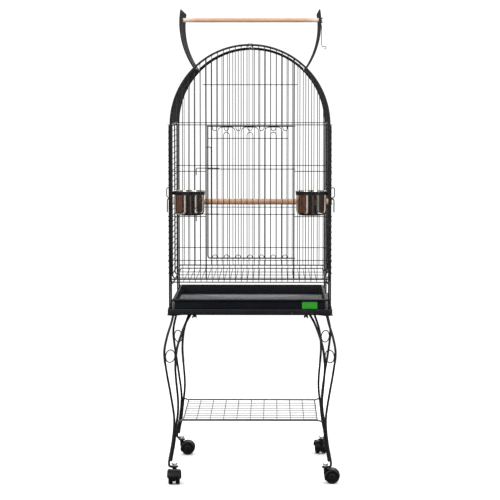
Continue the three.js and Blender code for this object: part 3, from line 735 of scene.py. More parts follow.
@dataclass
class EndWall(Assembly):
    """An arched wall: its border, bottom rail, bars, cross wires with hooked ends, and spot welds."""

    stiffener: float = 1.261
    overhang: float = 0.010
    hook_reach: float = 0.0093
    hook_end: float = 0.0038
    hook_bend: float = 0.0018
    crown_weld: float = 0.0022

    def arch(self, x: np.ndarray) -> np.ndarray:
        """Height of the border's centre line over x: the spring line plus sqrt(half^2 - x^2)."""
        return self.layout.spring + np.sqrt(self.layout.half**2 - x**2)

    def border(self, y: float) -> Shell:
        """One bent rod: up a side, round the half circle, and down the other side."""
        at, half = self.layout, self.layout.half
        over = arc((0, y, at.spring), half, 180, 0, X, Z, 61)
        left, right = (line((x, y, at.foot), (x, y, at.spring - 0.02), 3) for x in (-half, half))
        return Shell().tubes(np.vstack([left, over, right[::-1]]), self.post, Y, 12)

    def uprights(self, xs: np.ndarray, y: float, low: Any, high: Any, radius: float) -> Shell:
        """Bars at xs from one height to another; either height may be an array."""
        return Shell().bars(points(xs, y, low), points(xs, y, high), radius, Y)

    def hooked(self, y: float, z: float, side: float, start: float) -> Shell:
        """A cross wire from x = start to the post on one side, its end hooked round the side wall's post."""
        reach, end = side * (self.layout.half + self.hook_reach), y - math.copysign(self.hook_end, y)
        path = fillet([(start, y, z), (start + side * 0.01, y, z), (reach, y, z), (reach, end, z)],
                      self.hook_bend, 5)
        return Shell().tubes(path, self.cross, Z, 8)

    def weld_rows(self, xs: np.ndarray, y: float, heights: Sequence[float], radius: float) -> Shell:
        """A weld at every crossing of the bars at xs with the wires at these heights."""
        return Shell().welds(points(xs, y, column(heights)), radius)

    def shared(self, y: float, crossings: Sequence[float]) -> Shell:
        """What both end walls have: border, bottom rail, and full-width cross wires welded to the bars."""
        at = self.layout
        outside = y + math.copysign(at.cross_offset, y)
        seam, ends = (y + outside) / 2, np.array([-at.half, at.half])
        made = self.border(y).bars((-at.half, y, at.floor), (at.half, y, at.floor), self.rail, Y, 10)
        for z in crossings:
            made.merged(self.hooked(outside, z, -1, 0.0), self.hooked(outside, z, 1, 0.0))
        return made.merged(self.weld_rows(at.places, seam, crossings, self.bead),
                           self.weld_rows(ends, seam, crossings, self.knot),
                           self.weld_rows(at.places, y, [at.floor], self.knot))

    def crown_welds(self, y: float) -> Shell:
        """A weld where each bar meets the arch."""
        xs = self.layout.places
        return Shell().welds(points(xs, y, self.arch(xs) - 0.002), self.crown_weld)

    def build(self) -> None:
        """Makes the back wall and the front wall."""
        at = self.layout
        back = self.shared(-at.front, [*at.cross_heights, at.spring])
        back.merged(self.uprights(at.places, -at.front, at.floor, self.arch(at.places), self.bar))
        add_piece("back_wall_wires", back.merged(self.crown_welds(-at.front)), BLACK_WIRE, "cage",
                  "back_panel")

        y, outside = at.front, at.front - at.cross_offset
        seam, lowest, size = (y + outside) / 2, at.cross_heights[0], np.abs(at.places)
        beside, over = at.places[size > at.jamb + NEAR], at.places[size < at.jamb - NEAR]
        jambs, reach = np.array([-at.jamb, at.jamb]), at.jamb + self.overhang
        front = self.shared(y, [lowest, at.spring]).merged(
            self.uprights(beside, y, at.floor, self.arch(beside), self.bar),
            self.uprights(jambs, y, at.floor, self.arch(jambs), self.jamb_wire),
            self.uprights(over, y, at.floor, lowest + 0.002, self.bar),
            self.uprights(over, y, at.spring - 0.0014, self.arch(over), self.bar),
            self.crown_welds(y))
        for z in at.cross_heights[1:]:
            for side in (-1, 1):
                front.merged(self.hooked(outside, z, side, side * (at.jamb - NEAR)),
                             self.weld_rows(beside[beside * side > 0], seam, [z], self.bead))
        front.bars((-reach, outside, self.stiffener), (reach, outside, self.stiffener), self.cross, Y)
        front.merged(self.weld_rows(at.places[size < reach], seam, [self.stiffener], self.bead))
        add_piece("front_wall_wires", front, BLACK_WIRE, "cage", "front_panel")


@dataclass
class SideWalls(Assembly):
    """The side walls: bent border, uprights, level bars welded outside them, and the rod under the grate."""

    top: float = 1.132
    opening: tuple[float, float] = (0.841, 0.951)
    bar_count: int = 25
    bar_out: float = 0.0032
    overhang: float = 0.0018
    ledge_in: float = 0.0032
    ledge_height: float = 0.6362
    ledge_wire: float = 0.00175
    stubs: tuple[float, ...] = (-0.2, -0.07, 0.07, 0.2)
    bend: float = 0.009
    bar_weld: float = 0.0018
    corner_weld: float = 0.0029

    def wall(self, side: float) -> Shell:
        """One side's wires; side is -1 for left and 1 for right.

        Level bars divide the height from the bottom rail to the top rail evenly, and those beside the feeder
        opening start at its back jamb.
        """
        at, (low, high) = self.layout, self.opening
        x, out, half, past = side * at.side, side * (at.side + self.bar_out), at.half, at.half + self.overhang
        first, last, ledge = at.feeder_jamb, at.feeder_end, side * (at.half - self.ledge_in)
        corners = [(x, -half, at.foot), (x, -half, self.top), (x, half, self.top), (x, half, at.foot)]
        made = Shell().tubes(fillet(corners, self.bend, 8), self.post, X, 12)

        def level(at_x: float, zs: Sequence[float], start: float, end: float, radius: float) -> None:
            """Wires along Y at these heights."""
            made.bars(points(at_x, start, zs), points(at_x, end, zs), radius, X)

        heights = between(at.floor, self.top, self.bar_count)
        beside = (heights > low) & (heights < high)
        level(out, heights[~beside], -past, past, self.bar)
        level(out, heights[beside], last - NEAR, past, self.bar)
        level(x, [at.floor], -half, half, self.rail)
        level(x, self.opening, first, last, self.rail)
        posts = (first, last, -last)
        made.bars(points(x, posts, at.floor), points(x, posts, self.top), self.jamb_wire, X, 10)
        for y in (-half, first, last, -last, half):
            crossed = heights[~beside] if y in (-half, first) else heights
            made.welds(points((x + out) / 2 + side * 0.0006, y, crossed), self.bar_weld)
        made.welds(np.vstack([points(x, column((first, last)), self.opening),
                              points(x, column(posts), (at.floor, self.top))]), self.corner_weld)
        level(ledge, [self.ledge_height], -half + 0.008, half - 0.008, self.ledge_wire)
        for y in self.stubs:
            path = fillet([(x, y, at.floor), (x - side * 0.002, y, self.ledge_height + 0.004),
                           (ledge, y, self.ledge_height)], 0.003, 5)
            made.tubes(path, self.rail, Y, 8)
        return made

    def build(self) -> None:
        """Makes both side walls."""
        for name, side in SIDES.items():
            add_piece(f"{name}_wall_wires", self.wall(side), BLACK_WIRE, "cage", f"{name}_side_panel")


@dataclass
class Roof(Assembly):
    """The dome: two curved halves, the clips over the ridge, and the hatches with their eyes and hook."""

    eaves: float = 0.5
    ridge: float = 89.4
    rim_inset: float = 0.0031
    hinge_arm: float = 0.006
    tip_gap: float = 0.0034
    hatch_inset: float = 0.0043
    edge_wire: float = 0.0023
    crossing: float = 78.51
    eye_pitches: float = 6.0
    open_angle: float = 80.0
    clip_pitches: float = 1.5
    hook_wire: float = 0.0011
    hatch_eye: float = 0.0042
    tip_weld: float = 0.0025
    saddle: tuple[float, float, float] = (0.0064, -0.0046, 0.0043)

    def dome(self, angle: Any, y: Any, side: float, lift: float = 0.0) -> np.ndarray:
        """Points of the dome: side R cos(angle), y, and the spring line plus R sin(angle), in degrees."""
        a, r = np.radians(angle), self.layout.dome + lift
        return points(side * r * np.cos(a), y, self.layout.spring + r * np.sin(a))

    def arcs(self, made: Shell, ys: Sequence[float], start: float, end: float, side: float, radius: float,
             sides: int = 8) -> None:
        """Curved bars at these ys from one angle to another."""
        angles = np.linspace(start, end, 40)
        made.tubes(np.array([self.dome(angles, y, side) for y in ys]), radius, Y, sides)

    def across(self, made: Shell, angle: float, start: float, end: float, side: float, radius: float,
               lift: float = 0.0) -> None:
        """A straight wire along Y at an angle up the dome."""
        made.bars(self.dome(angle, start, side, lift), self.dome(angle, end, side, lift), radius,
                  (1, 0, 0.3), 10)

    def beads(self, made: Shell, angle: float, ys: Sequence[float], side: float, radius: float,
              lift: float = 0.0) -> None:
        """Welds at an angle up the dome."""
        made.welds(self.dome(angle, ys, side, lift), radius)

    def half(self, side: float) -> Shell:
        """One half of the roof."""
        at, shoulder, size = self.layout, 45.0, np.abs(self.layout.places)
        rim, made = at.half - self.rim_inset, Shell()
        short, strip = at.places[size < at.strip - NEAR], at.places[size > at.strip + NEAR]
        self.arcs(made, short, self.eaves, shoulder, side, self.bar)
        self.arcs(made, strip, self.eaves, self.ridge, side, self.bar)
        self.arcs(made, (-rim, -at.strip, at.strip, rim), self.eaves, self.ridge, side, self.rail, 10)
        self.across(made, self.eaves, -rim, rim, side, self.rail)
        self.across(made, shoulder, -at.strip, at.strip, side, self.jamb_wire)
        for end in (-1, 1):
            self.across(made, self.ridge, end * at.strip, end * rim, side, self.rail)
        for angle, ys in ((self.eaves, at.places), (shoulder, short), (self.ridge, strip)):
            self.beads(made, angle, ys, side, self.knot)
        return made

    def hatch(self, side: float) -> list[Shell]:
        """A hatch and its hinge eyes, shaped shut in the dome and then swung open about the shoulder rod."""
        at = self.layout
        first = 45 + math.degrees(self.hinge_arm / at.dome)
        last = 90 - math.degrees(self.tip_gap / at.dome)
        end, middle = at.strip - self.hatch_inset, at.pitch / 2
        bars = at.places[np.abs(at.places) < end - 0.005]
        panel, eyes = Shell(), Shell()
        self.arcs(panel, bars, first, last, side, self.bar)
        self.arcs(panel, (-end, end), first, last, side, self.edge_wire, 12)
        for angle, near, far in ((first, -end, end), (last, -end, -middle), (last, middle, end)):
            self.across(panel, angle, near, far, side, self.edge_wire)
        self.across(panel, self.crossing, -end, end, side, self.cross, at.cross_offset)
        for angle in (first, last):
            self.beads(panel, angle, bars, side, self.tip_weld)
        self.beads(panel, self.crossing, bars, side, 0.0016, at.cross_offset / 2)
        for angle in (first, last):
            self.beads(panel, angle, (-end, end), side, self.knot)
        hinge = self.dome(45, 0, side)[0]
        for y in (-self.eye_pitches * at.pitch, self.eye_pitches * at.pitch):
            eyes.merged(eye(hinge + (0, y, 0), self.hatch_eye, self.eye_wire, "y"))
            eyes.bars(self.dome(46, y, side), self.dome(first, y, side), self.eye_wire * 1.3, Y)
        spin = turn(Y, side * self.open_angle)
        return [shell.moved(shift=-hinge).moved(spin, hinge) for shell in (panel, eyes)]

    def ridge_clip(self, y: float) -> Shell:
        """A saddle over the ridge: a strip bent down on both sides, with a weld at each foot."""
        top, (reach, low, high) = self.layout.spring + self.layout.dome, self.saddle
        path = fillet([(-reach, y, top + low), (-reach, y, top + high), (reach, y, top + high),
                       (reach, y, top + low)], 0.0032, 6)
        made = Shell().sweep(path, slab(0.0008, 0.006, 0.0005), Y, nose=0.0003)
        return made.welds(points((-reach, reach), y, top + low + 0.001), 0.0031)

    def hook(self) -> Shell:
        """The hook that hangs from the right hatch: a small eye and a wire that ends in a curl."""
        spot = self.layout.position("hook_swing")
        wire = spline([(0.0035, 0, -0.001), (0.0037, 0, -0.006), (0.0035, 0, -0.02), (0.003, 0, -0.046),
                       (0.0045, 0, -0.061), (0.0088, 0, -0.0655), (0.0135, 0, -0.0632),
                       (0.0178, 0, -0.0660),
                       (0.0168, 0, -0.0712), (0.0125, 0, -0.0725)], 6)
        return eye(spot, 0.0036, self.hook_wire, "y").tubes(wire + spot, self.hook_wire, Y, 8)

    def build(self) -> None:
        """Makes both halves, the ridge clips, both hatches and the hook."""
        at = self.layout
        for name, side in SIDES.items():
            add_piece(f"dome_wires_{name}", self.half(side), BLACK_WIRE, "cage", f"roof_{name}")
            panel, eyes = self.hatch(side)
            add_piece(f"hatch_wires_{name}", panel, BLACK_WIRE, f"hatch_{name}", f"hatch_{name}")
            add_piece(f"hatch_eyes_{name}", eyes, ZINC, f"hatch_{name}")
        for name, side in (("front", -1), ("back", 1)):
            y = side * (at.strip + self.clip_pitches * at.pitch)
            add_piece(f"ridge_saddle_{name}", self.ridge_clip(y), CLIP_ZINC, "cage", f"ridge_clip_{name}")
        add_piece("hook_wire", self.hook(), BLACK_WIRE, "hook", "hatch_hook")


@dataclass
class FrontDoor(Assembly):
    """The front door with its scrollwork, hinge eyes and latch guides, and the sliding latch."""

    low: float = 0.718
    high: float = 1.132
    crossings: tuple[float, ...] = (0.856, 0.998)
    upper: float = 1.094
    edge_gap: float = 0.0056
    latch_out: float = 0.005706
    latch_wire: float = 0.0014
    latch_arms: tuple[float, float] = (0.857, 1.001)
    latch_top: float = 1.067
    latch_left: float = 0.0305
    latch_reach: float = 0.072
    latch_drop: float = 0.022
    handle_right: float = 0.0165
    hairpin_bend: float = 0.0165
    narrow_top: float = 1.1035
    cup: tuple[float, float] = (0.0080, 0.0130)
    arch: tuple[float, float] = (0.0078, 0.0092)

    def scrolls(self, made: Shell, xs: np.ndarray) -> None:
        """Hairpins under the top rail, cups between them, and small arches on the bottom rail.

        A hairpin is two bars joined by a rounded top. Of each four bars, the outer two make a wide one that
        touches the rail, and the inner two a narrow one that ends in a half circle. Cups and arches are half
        ellipses.
        """
        y, low, top = self.layout.front, self.low, self.high - 0.0030
        for k in (1, 5, 9):
            left, inner_left, inner_right, right = xs[k:k + 4]
            wide = fillet([(left, y, low), (left, y, top), (right, y, top), (right, y, low)],
                          self.hairpin_bend, 10)
            made.tubes(wide, self.bar, Y, 8)
            centre = ((inner_left + inner_right) / 2, y, self.narrow_top)
            over = arc(centre, self.layout.pitch / 2, 180, 0, X, Z, 17)
            made.tubes(np.vstack([[(inner_left, y, low)], over, [(inner_right, y, low)]]), self.bar, Y, 8)
        middles = (xs[::2] + xs[1::2]) / 2
        cups = [arc((x, y, self.high - 0.0015), self.cup, 180, 360, X, Z, 15) for x in middles]
        arches = [arc((x, y, low + 0.0012), self.arch, 180, 0, X, Z, 15) for x in middles]
        made.tubes(np.array(cups + arches), self.bar, Y, 8)

    def door(self) -> Shell:
        """The door's wires."""
        at, low, high = self.layout, self.low, self.high
        y, out = at.front, at.front - at.cross_offset
        left, right, seam = -at.jamb + self.edge_gap, at.jamb - self.eye_radius, y - self.eye_radius
        xs = at.places[np.abs(at.places) < at.jamb - NEAR]
        border = fillet([(left, y, high), (left, y, low), (right, y, low)], 0.008, 8)
        made = Shell().tubes(border, self.rail, Y, 12)
        made.bars((left - 0.002, y, high), (right, y, high), self.rail, Y, 12)
        self.scrolls(made, xs)
        made.bars(points(xs[[0, -1]], y, low), points(xs[[0, -1]], y, high), self.bar, Y)
        for z in self.crossings:
            path = [(left, out, z), (right - 0.006, out, z), (right + 0.0015, seam + 0.0003, z),
                    (at.jamb, seam, z)]
            made.tubes(fillet(path, 0.002, 4), self.cross, Z, 8)
        made.bars((left, out, self.upper), (xs[-1], out, self.upper), self.cross, Y)
        for z in (low, *self.crossings, high):
            made.merged(eye((at.jamb, y, z), self.eye_radius, self.eye_wire, "z"))
        made.welds(points([left, *xs], (y + out) / 2, column([*self.crossings, self.upper])), self.bead)
        for z in (low, high):
            made.welds(points(xs, y, z), self.edge_weld)
        for z in self.latch_arms:
            made.merged(eye((xs[1], y - self.latch_out, z), 0.0036, 0.0009, "x"))
        return made

    def latch(self) -> Shell:
        """The latch: two arms with their ends turned down, and a tall hairpin handle welded across them."""
        y, left, top = self.layout.front - self.latch_out, -self.layout.jamb, self.latch_top
        start, right, made = left - self.latch_left, left + self.handle_right, Shell()
        foot = self.latch_arms[0] - 0.002
        for z in self.latch_arms:
            path = [(start, y, z - self.latch_drop), (start, y, z), (start + self.latch_reach, y, z)]
            made.tubes(fillet(path, 0.0045, 7), self.latch_wire, Y, 10)
        handle = fillet([(left, y, foot), (left, y, top), (right, y, top), (right, y, foot)], 0.0062, 8)
        made.tubes(handle, self.latch_wire, Y, 10)
        return made.welds(points(column((left, right)), y, self.latch_arms), 0.0021)

    def build(self) -> None:
        """Makes the door and its latch."""
        add_piece("door_wires", self.door(), BLACK_WIRE, "door", "front_door")
        add_piece("door_latch_wire", self.latch(), BLACK_WIRE, "latch", "door_latch")


@dataclass
class Feeders(Assembly):
    """The feeder doors, the bands that hang on them, the steel cups in the bands, and the turn latches."""

    low: float = 0.8465
    high: float = 0.9455
    edge_gap: float = 0.0044
    from_wall: float = 0.059
    from_jamb: float = 0.0714
    band_low: float = 0.913
    band_high: float = 0.923
    band_inner: float = 0.0483
    band_outer: float = 0.0499
    arms: float = 0.013
    cup_radius: float = 0.0478
    cup_wall: float = 0.001
    cup_height: float = 0.078
    latch_near: float = 0.005965
    latch_reach: float = 0.012
    latch_beside: float = 0.006
    latch_wire: float = 0.0013
    loop_span: tuple[float, float] = (0.897, 0.931)
    loop_tilt: float = 0.004
    loop_thick: float = 1.2
    tail_thick: float = 1.45
    tail_out: float = 0.010
    tail_low: float = 0.852
    pivot: float = 0.899
    hoop_roll: float = 0.0004
    rim: float = 0.0013

    def centre(self, side: float) -> tuple[float, float]:
        """The cup's axis in x and y."""
        return side * (self.layout.side - self.from_wall), self.layout.feeder_jamb + self.from_jamb

    def door(self, side: float) -> Shell:
        """A bent frame with bars, and two eyes round the jamb."""
        at, x, low, high = self.layout, side * self.layout.side, self.low, self.high
        near, end = at.feeder_jamb + self.eye_radius, at.feeder_end - self.edge_gap
        made = Shell().tubes(fillet([(x, near, low), (x, end, low), (x, end, high), (x, near, high)], 0.006,
                                    7),
                             self.rail, X, 12)
        ys = at.places[(at.places > at.feeder_jamb + NEAR) & (at.places < at.feeder_end - NEAR)]
        made.bars(points(x, ys, low), points(x, ys, high), self.bar, X)
        for z in (low, high):
            made.merged(eye((x, at.feeder_jamb, z), self.eye_radius, self.eye_wire, "z"))
            made.welds(points(x, ys, z), self.edge_weld)
        return made

    def band(self, side: float) -> Shell:
        """The hoop with rolled edges, its bracket plate inside the door, and loops round the door's bars."""
        (x, y), wall = self.centre(side), side * self.layout.side
        low, high, roll = self.band_low, self.band_high, self.hoop_roll
        inner, outer = self.band_inner, self.band_outer
        outline = [(inner, low + roll), (inner + roll, low), (outer - roll, low), (outer, low + roll),
                   (outer, low + 0.002), (outer - 0.0003, low + 0.003), (outer - 0.0003, high - 0.003),
                   (outer, high - 0.002), (outer, high - roll), (outer - roll, high), (inner + roll, high),
                   (inner, high - roll)]
        made = Shell().lathe(outline, 72, looped=True).moved(shift=(x, y, 0))
        face, middle = side * (self.layout.side - 0.0024), (low + high) / 2
        strap = slab(0.0008, 0.0045, 0.0005)
        hooked = self.layout.places[np.abs(self.layout.places - y) < 0.021][[0, -1]]
        runs = [line((face, hooked[0] - 0.004, middle), (face, hooked[1] + 0.004, middle), 8)]
        for offset in (-self.arms, self.arms):
            start = (x + side * math.sqrt((outer - 0.0006) ** 2 - offset**2), y + offset, middle)
            runs.append(line(start, (face, y + offset, middle), 4))
        for run in runs:
            made.sweep(run, strap, Z, nose=0.0003)
        for bar_y in hooked:
            for z in (low + 0.002, high - 0.002):
                made.merged(eye((wall, bar_y, z), 0.0022, 0.0009, "z"))
        return made

    def cup(self, side: float) -> Shell:
        """A spun cup: rounded foot with a raised centre, straight wall, and a rim rolled outwards."""
        (x, y), top, lip = self.centre(side), self.band_high + 0.0028, self.rim
        foot, r, inner = top - self.cup_height, self.cup_radius, self.cup_radius - self.cup_wall
        turns = np.radians(range(-150, 160, 26))
        rim = np.stack([r + 0.0012 + lip * np.cos(turns), top - lip + lip * np.sin(turns)], 1)
        outside = [(0, 0.0012), (0.028, 0.0012), (0.031, 0.0003), (0.0335, 0), (0.037, 0.0003),
                   (0.0415, 0.0022),
                   (0.0448, 0.0058), (0.0468, 0.0105), (r, 0.017), (r, self.cup_height - 0.012),
                   (r, self.cup_height - 0.0032)]
        inside = [(inner, self.cup_height - 0.0024), (inner, self.cup_height - 0.012), (inner, 0.0172),
                  (0.0458, 0.0112), (0.0439, 0.0067), (0.0408, 0.0033), (0.0366, 0.0014), (0.0335, 0.0011),
                  (0.0312, 0.0014), (0.0283, 0.0023), (0, 0.0023)]
        rise = np.array([0, foot])
        return Shell().lathe(np.vstack([outside + rise, rim, inside + rise]), 96).moved(shift=(x, y, 0))

    def latch(self, side: float) -> tuple[Shell, Shell]:
        """The loop that is gripped, and under it the outward-bent tail that turns across the feeder door."""
        near, y = side * (self.layout.side + self.latch_near), self.layout.feeder_end + self.latch_beside
        far, (low, high), out = near + side * self.latch_reach, self.loop_span, near + side * self.tail_out
        corners = [(near, y, low), (far, y, low + self.loop_tilt), (far, y, high), (near, y, high),
                   (near, y, low - 0.0005)]
        grip = Shell().tubes(fillet(corners, 0.0058, 8), self.latch_wire * self.loop_thick, Y, 10)
        bent = fillet([(near, y, self.pivot), (out, y, self.pivot - 0.006), (out, y, self.tail_low)], 0.004,
                      6)
        hub = Shell().lathe([(0, 0), (0.0028, 0), (0.0031, 0.0004), (0.0031, 0.0014), (0.0026, 0.0019),
                             (0, 0.0019)], 20)
        hub = hub.moved(turn(Y, 90 * side), (near - side * 0.0012, y, self.pivot))
        return grip, Shell().tubes(bent, self.latch_wire * self.tail_thick, Y, 10).merged(hub)

    def build(self) -> None:
        """Makes both feeder doors with their bands, cups and latches."""
        for name, side in SIDES.items():
            add_piece(f"feeder_door_wires_{name}", self.door(side), BLACK_WIRE, f"feeder_{name}",
                      f"feeder_door_{name}")
            add_piece(f"cup_hoop_{name}", self.band(side), BLACK_FRAME, f"feeder_{name}",
                      f"cup_band_{name}")
            add_piece(f"spun_cup_{name}", self.cup(side), CUP_STEEL, f"cup_{name}", f"feeder_cup_{name}")
            grip, tail = self.latch(side)
            body = f"feeder_latch_{name}"
            add_piece(f"turn_latch_loop_{name}", grip, BLACK_WIRE, body, f"feeder_latch_{name}")
            add_piece(f"turn_latch_tail_{name}", tail, BLACK_WIRE, body)


@dataclass
class Base(Assembly):
    """The pressed frame, the tray with its sticker, and the floor grate."""

    half: float = 0.2595
    top: float = 0.5574
    low: float = 0.5386
    ledge: float = 0.028
    sheet: float = 0.0015
    strap: float = 0.034
    strap_from: float = 0.168
    tray_half: float = 0.238
    tray_front: float = -0.256
    tray_back: float = 0.205
    tray_low: float = 0.5577
    tray_high: float = 0.5887
    lip: float = 0.005
    flange_half: float = 0.249
    seams: tuple[float, ...] = (-0.141, -0.004, 0.131)
    label_centre: float = 0.188
    grate_height: float = 0.641
    grate_half: float = 0.241025
    grate_end: float = 0.241725
    grate_edge: float = 0.0018
    grate_under: tuple[float, ...] = (-0.08, 0.026, 0.13)
    tray_wall: float = 0.0026

    def frame(self) -> Shell:
        """A hollow square: skirt, rounded top edge, ledge with its inner edge turned down, and corner straps.

        A row of its section is how far the square draws in, its corner radius and its height.
        """
        h, t, top, low, ledge = self.half, self.sheet, self.top, self.low, self.ledge
        section = [(0, 0.012, low + 0.0004), (0, 0.012, top - 0.0022), (0.0003, 0.0118, top - 0.001),
                   (0.001, 0.0113, top - 0.0003), (0.0022, 0.0105, top), (ledge - 0.0012, 0.004, top),
                   (ledge - 0.0003, 0.0036, top - 0.0004), (ledge, 0.0034, top - 0.0012),
                   (ledge, 0.0034, top - 0.0042),
                   (ledge - 0.0012, 0.0042, top - 0.0042), (ledge - 0.0013, 0.0044, top - t),
                   (0.0026, 0.010, top - t),
                   (t, 0.0105, top - 0.0028), (t, 0.0105, low + 0.0004), (0.0011, 0.011, low),
                   (0.0004, 0.0116, low)]
        made = Shell().loft([(h - draw, draw - h, h - draw, corner, z) for draw, corner, z in section], 6,
                            looped=True)
        start, end, z = self.strap_from * ROOT_TWO, h * ROOT_TWO - self.strap / 2, low + 0.001
        strap = Shell().sweep(line((start, 0, z), (end, 0, z), 6), slab(self.strap / 2, 0.001, 0.0006), Z,
                              nose=0.0005)
        return made.merged(*[strap.moved(turn(Z, corner)) for corner in (-135, -45, 45, 135)])

    def tray(self) -> Shell:
        """A moulded tray: rounded foot, walls with a seam rib, rolled lip, and the flange across its front.

        A row of its section is how far the sides and back stand out, how far the front stands out, the corner
        radius and the height.
        """
        h, f, b, low, high = self.tray_half, self.tray_front, self.tray_back, self.tray_low, self.tray_high
        w, lip = self.tray_wall, self.lip
        section = [(-0.002, -0.002, 0.006, low), (-0.0005, -0.0005, 0.0068, low + 0.0005),
                   (0, 0, 0.007, low + 0.0018),
                   (0, 0, 0.007, high - 0.0022), (lip - 0.0019, 0, 0.0088, high - 0.0022),
                   (lip - 0.0017, 0, 0.009, high - 0.0056), (lip - 0.0003, 0.0001, 0.0096, high - 0.006),
                   (lip, 0.0002, 0.01, high - 0.0054), (lip, 0.0002, 0.01, high - 0.0008),
                   (lip - 0.0007, 0, 0.0095, high),
                   (0.0006 - w, 0.0006 - w, 0.0052, high), (-w, -w, 0.005, high - 0.0007),
                   (-w, -w, 0.005, low + w + 0.0018),
                   (-w - 0.0005, -w - 0.0005, 0.0046, low + w + 0.0005),
                   (-w - 0.002, -w - 0.002, 0.0036, low + w)]
        rows = [(h + out, f - ahead, b + out, corner, z) for out, ahead, corner, z in section]
        made = Shell().loft(rows, 6)
        wide, nose = self.flange_half, f - 0.006
        outer, inner = (nose, f + 0.0014, 0.002), (nose + 0.0008, f + 0.0012, 0.0014)
        made.loft([(wide - 0.001, *inner, high - 0.006), (wide, *outer, high - 0.0052),
                   (wide, *outer, high - 0.0010),
                   (wide - 0.0008, *inner, high)], 5)
        heights = (low + 0.0012, high - 0.0056)
        rib = Shell().loft([(0.0009, f - 0.00045, f + 0.001, 0.0004, z) for z in heights], 3)
        return made.merged(*[rib.moved(shift=(x, 0, 0)) for x in self.seams])

    def label(self) -> Shell:
        """A blank sticker with rounded corners on the tray's front."""
        edge = slab(0.024, 0.011, 0.0022, 5) + (0, self.tray_low + 0.012)
        return Shell().plate(edge, 0.0006, 0.00012).moved(shift=(self.label_centre,
                                                                 self.tray_front - 0.0006, 0))

    def grate(self) -> Shell:
        """The floor grate: edge rods, bars from front to back, and cross wires welded under them."""
        half, end, z, xs = self.grate_half, self.grate_end, self.grate_height, self.layout.places[1:-1]
        made, ends, under = Shell(), (-end, end), z - self.bar - self.cross + 0.0001
        made.bars(points((-half, half), -end, z - 0.0012), points((-half, half), end, z - 0.0012),
                  self.grate_edge, Z, 10)
        made.bars(points(-half, ends, z), points(half, ends, z), self.grate_edge, Z, 10)
        made.bars(points(xs, -end, z), points(xs, end, z), self.bar, Z)
        made.bars(points(-half, self.grate_under, under), points(half, self.grate_under, under), self.cross,
                  Z)
        made.welds(points(xs, column(self.grate_under), z - 0.0012), 0.0015)
        return made.welds(points(xs, column(ends), z), 0.002)

    def build(self) -> None:
        """Makes the frame, the tray, the sticker and the grate."""
        add_piece("pressed_frame", self.frame(), BLACK_FRAME, "cage", "base_frame", smooth_angle=50)
        add_piece("moulded_tray", self.tray(), TRAY_PLASTIC, "tray", "tray", smooth_angle=50)
        add_piece("blank_sticker", self.label(), LABEL, "tray", "tray_label")
        add_piece("grate_wires", self.grate(), BLACK_WIRE, "grate", "floor_grate")


@dataclass
class Perches(Assembly):
    """The two dowels and the wing nuts that clamp them."""

    inner_radius: float = 0.00975
    inner_height: float = 0.882
    top_radius: float = 0.007
    top_height: float = 1.471
    chamfer: float = 0.0012
    nut_out: float = 0.0047
    washers: tuple[float, float] = (0.0092, 0.0105)

    def dowel(self, radius: float, end: float, height: float) -> Shell:
        """A turned rod along X: chamfered ends with a shallow dimple, and a slight swell along its length."""
        along = np.linspace(-end + self.chamfer, end - self.chamfer, 24)
        swell = radius - 0.00012 + 0.00012 * np.cos(along * 47)
        body = list(zip(swell, along))
        tip = [(0, -end + 0.0008), (0.0022, -end + 0.0004), (0.0034, -end), (radius - self.chamfer, -end)]
        profile = [*tip, *body, *[(r, -z) for r, z in reversed(tip)]]
        return Shell().lathe(profile, 40).moved(turn(Y, 90), (0, 0, height))

    def nut(self, side: float, at_x: float, height: float, washer: float) -> Shell:
        """A wing nut outside one end, its wings upright."""
        return wing_nut(washer, 0.0034).moved(turn(Y, 90 * side), (side * at_x, 0, height))

    def build(self) -> None:
        """Makes the inner perch and the play perch with their nuts."""
        inner_end, top_end = (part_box(name)[1].x for name in ("inner_perch", "top_perch"))
        inner_nut, top_nut = self.layout.side + self.nut_out, top_end + 0.0004
        low, high = self.inner_height, self.top_height
        add_piece("inner_dowel", self.dowel(self.inner_radius, inner_end, low), PERCH_WOOD, "cage",
                  "inner_perch")
        add_piece("play_dowel", self.dowel(self.top_radius, top_end, high), TOP_PERCH_WOOD, "top_perch",
                  "top_perch")
        for name, side in SIDES.items():
            add_piece(f"inner_wing_nut_{name}", self.nut(side, inner_nut, low, self.washers[0]), ZINC,
                      "cage",
                      f"inner_perch_nut_{name}")
            add_piece(f"play_wing_nut_{name}", self.nut(side, top_nut, high, self.washers[1]), ZINC,
                      "top_perch",
                      f"top_perch_nut_{name}")


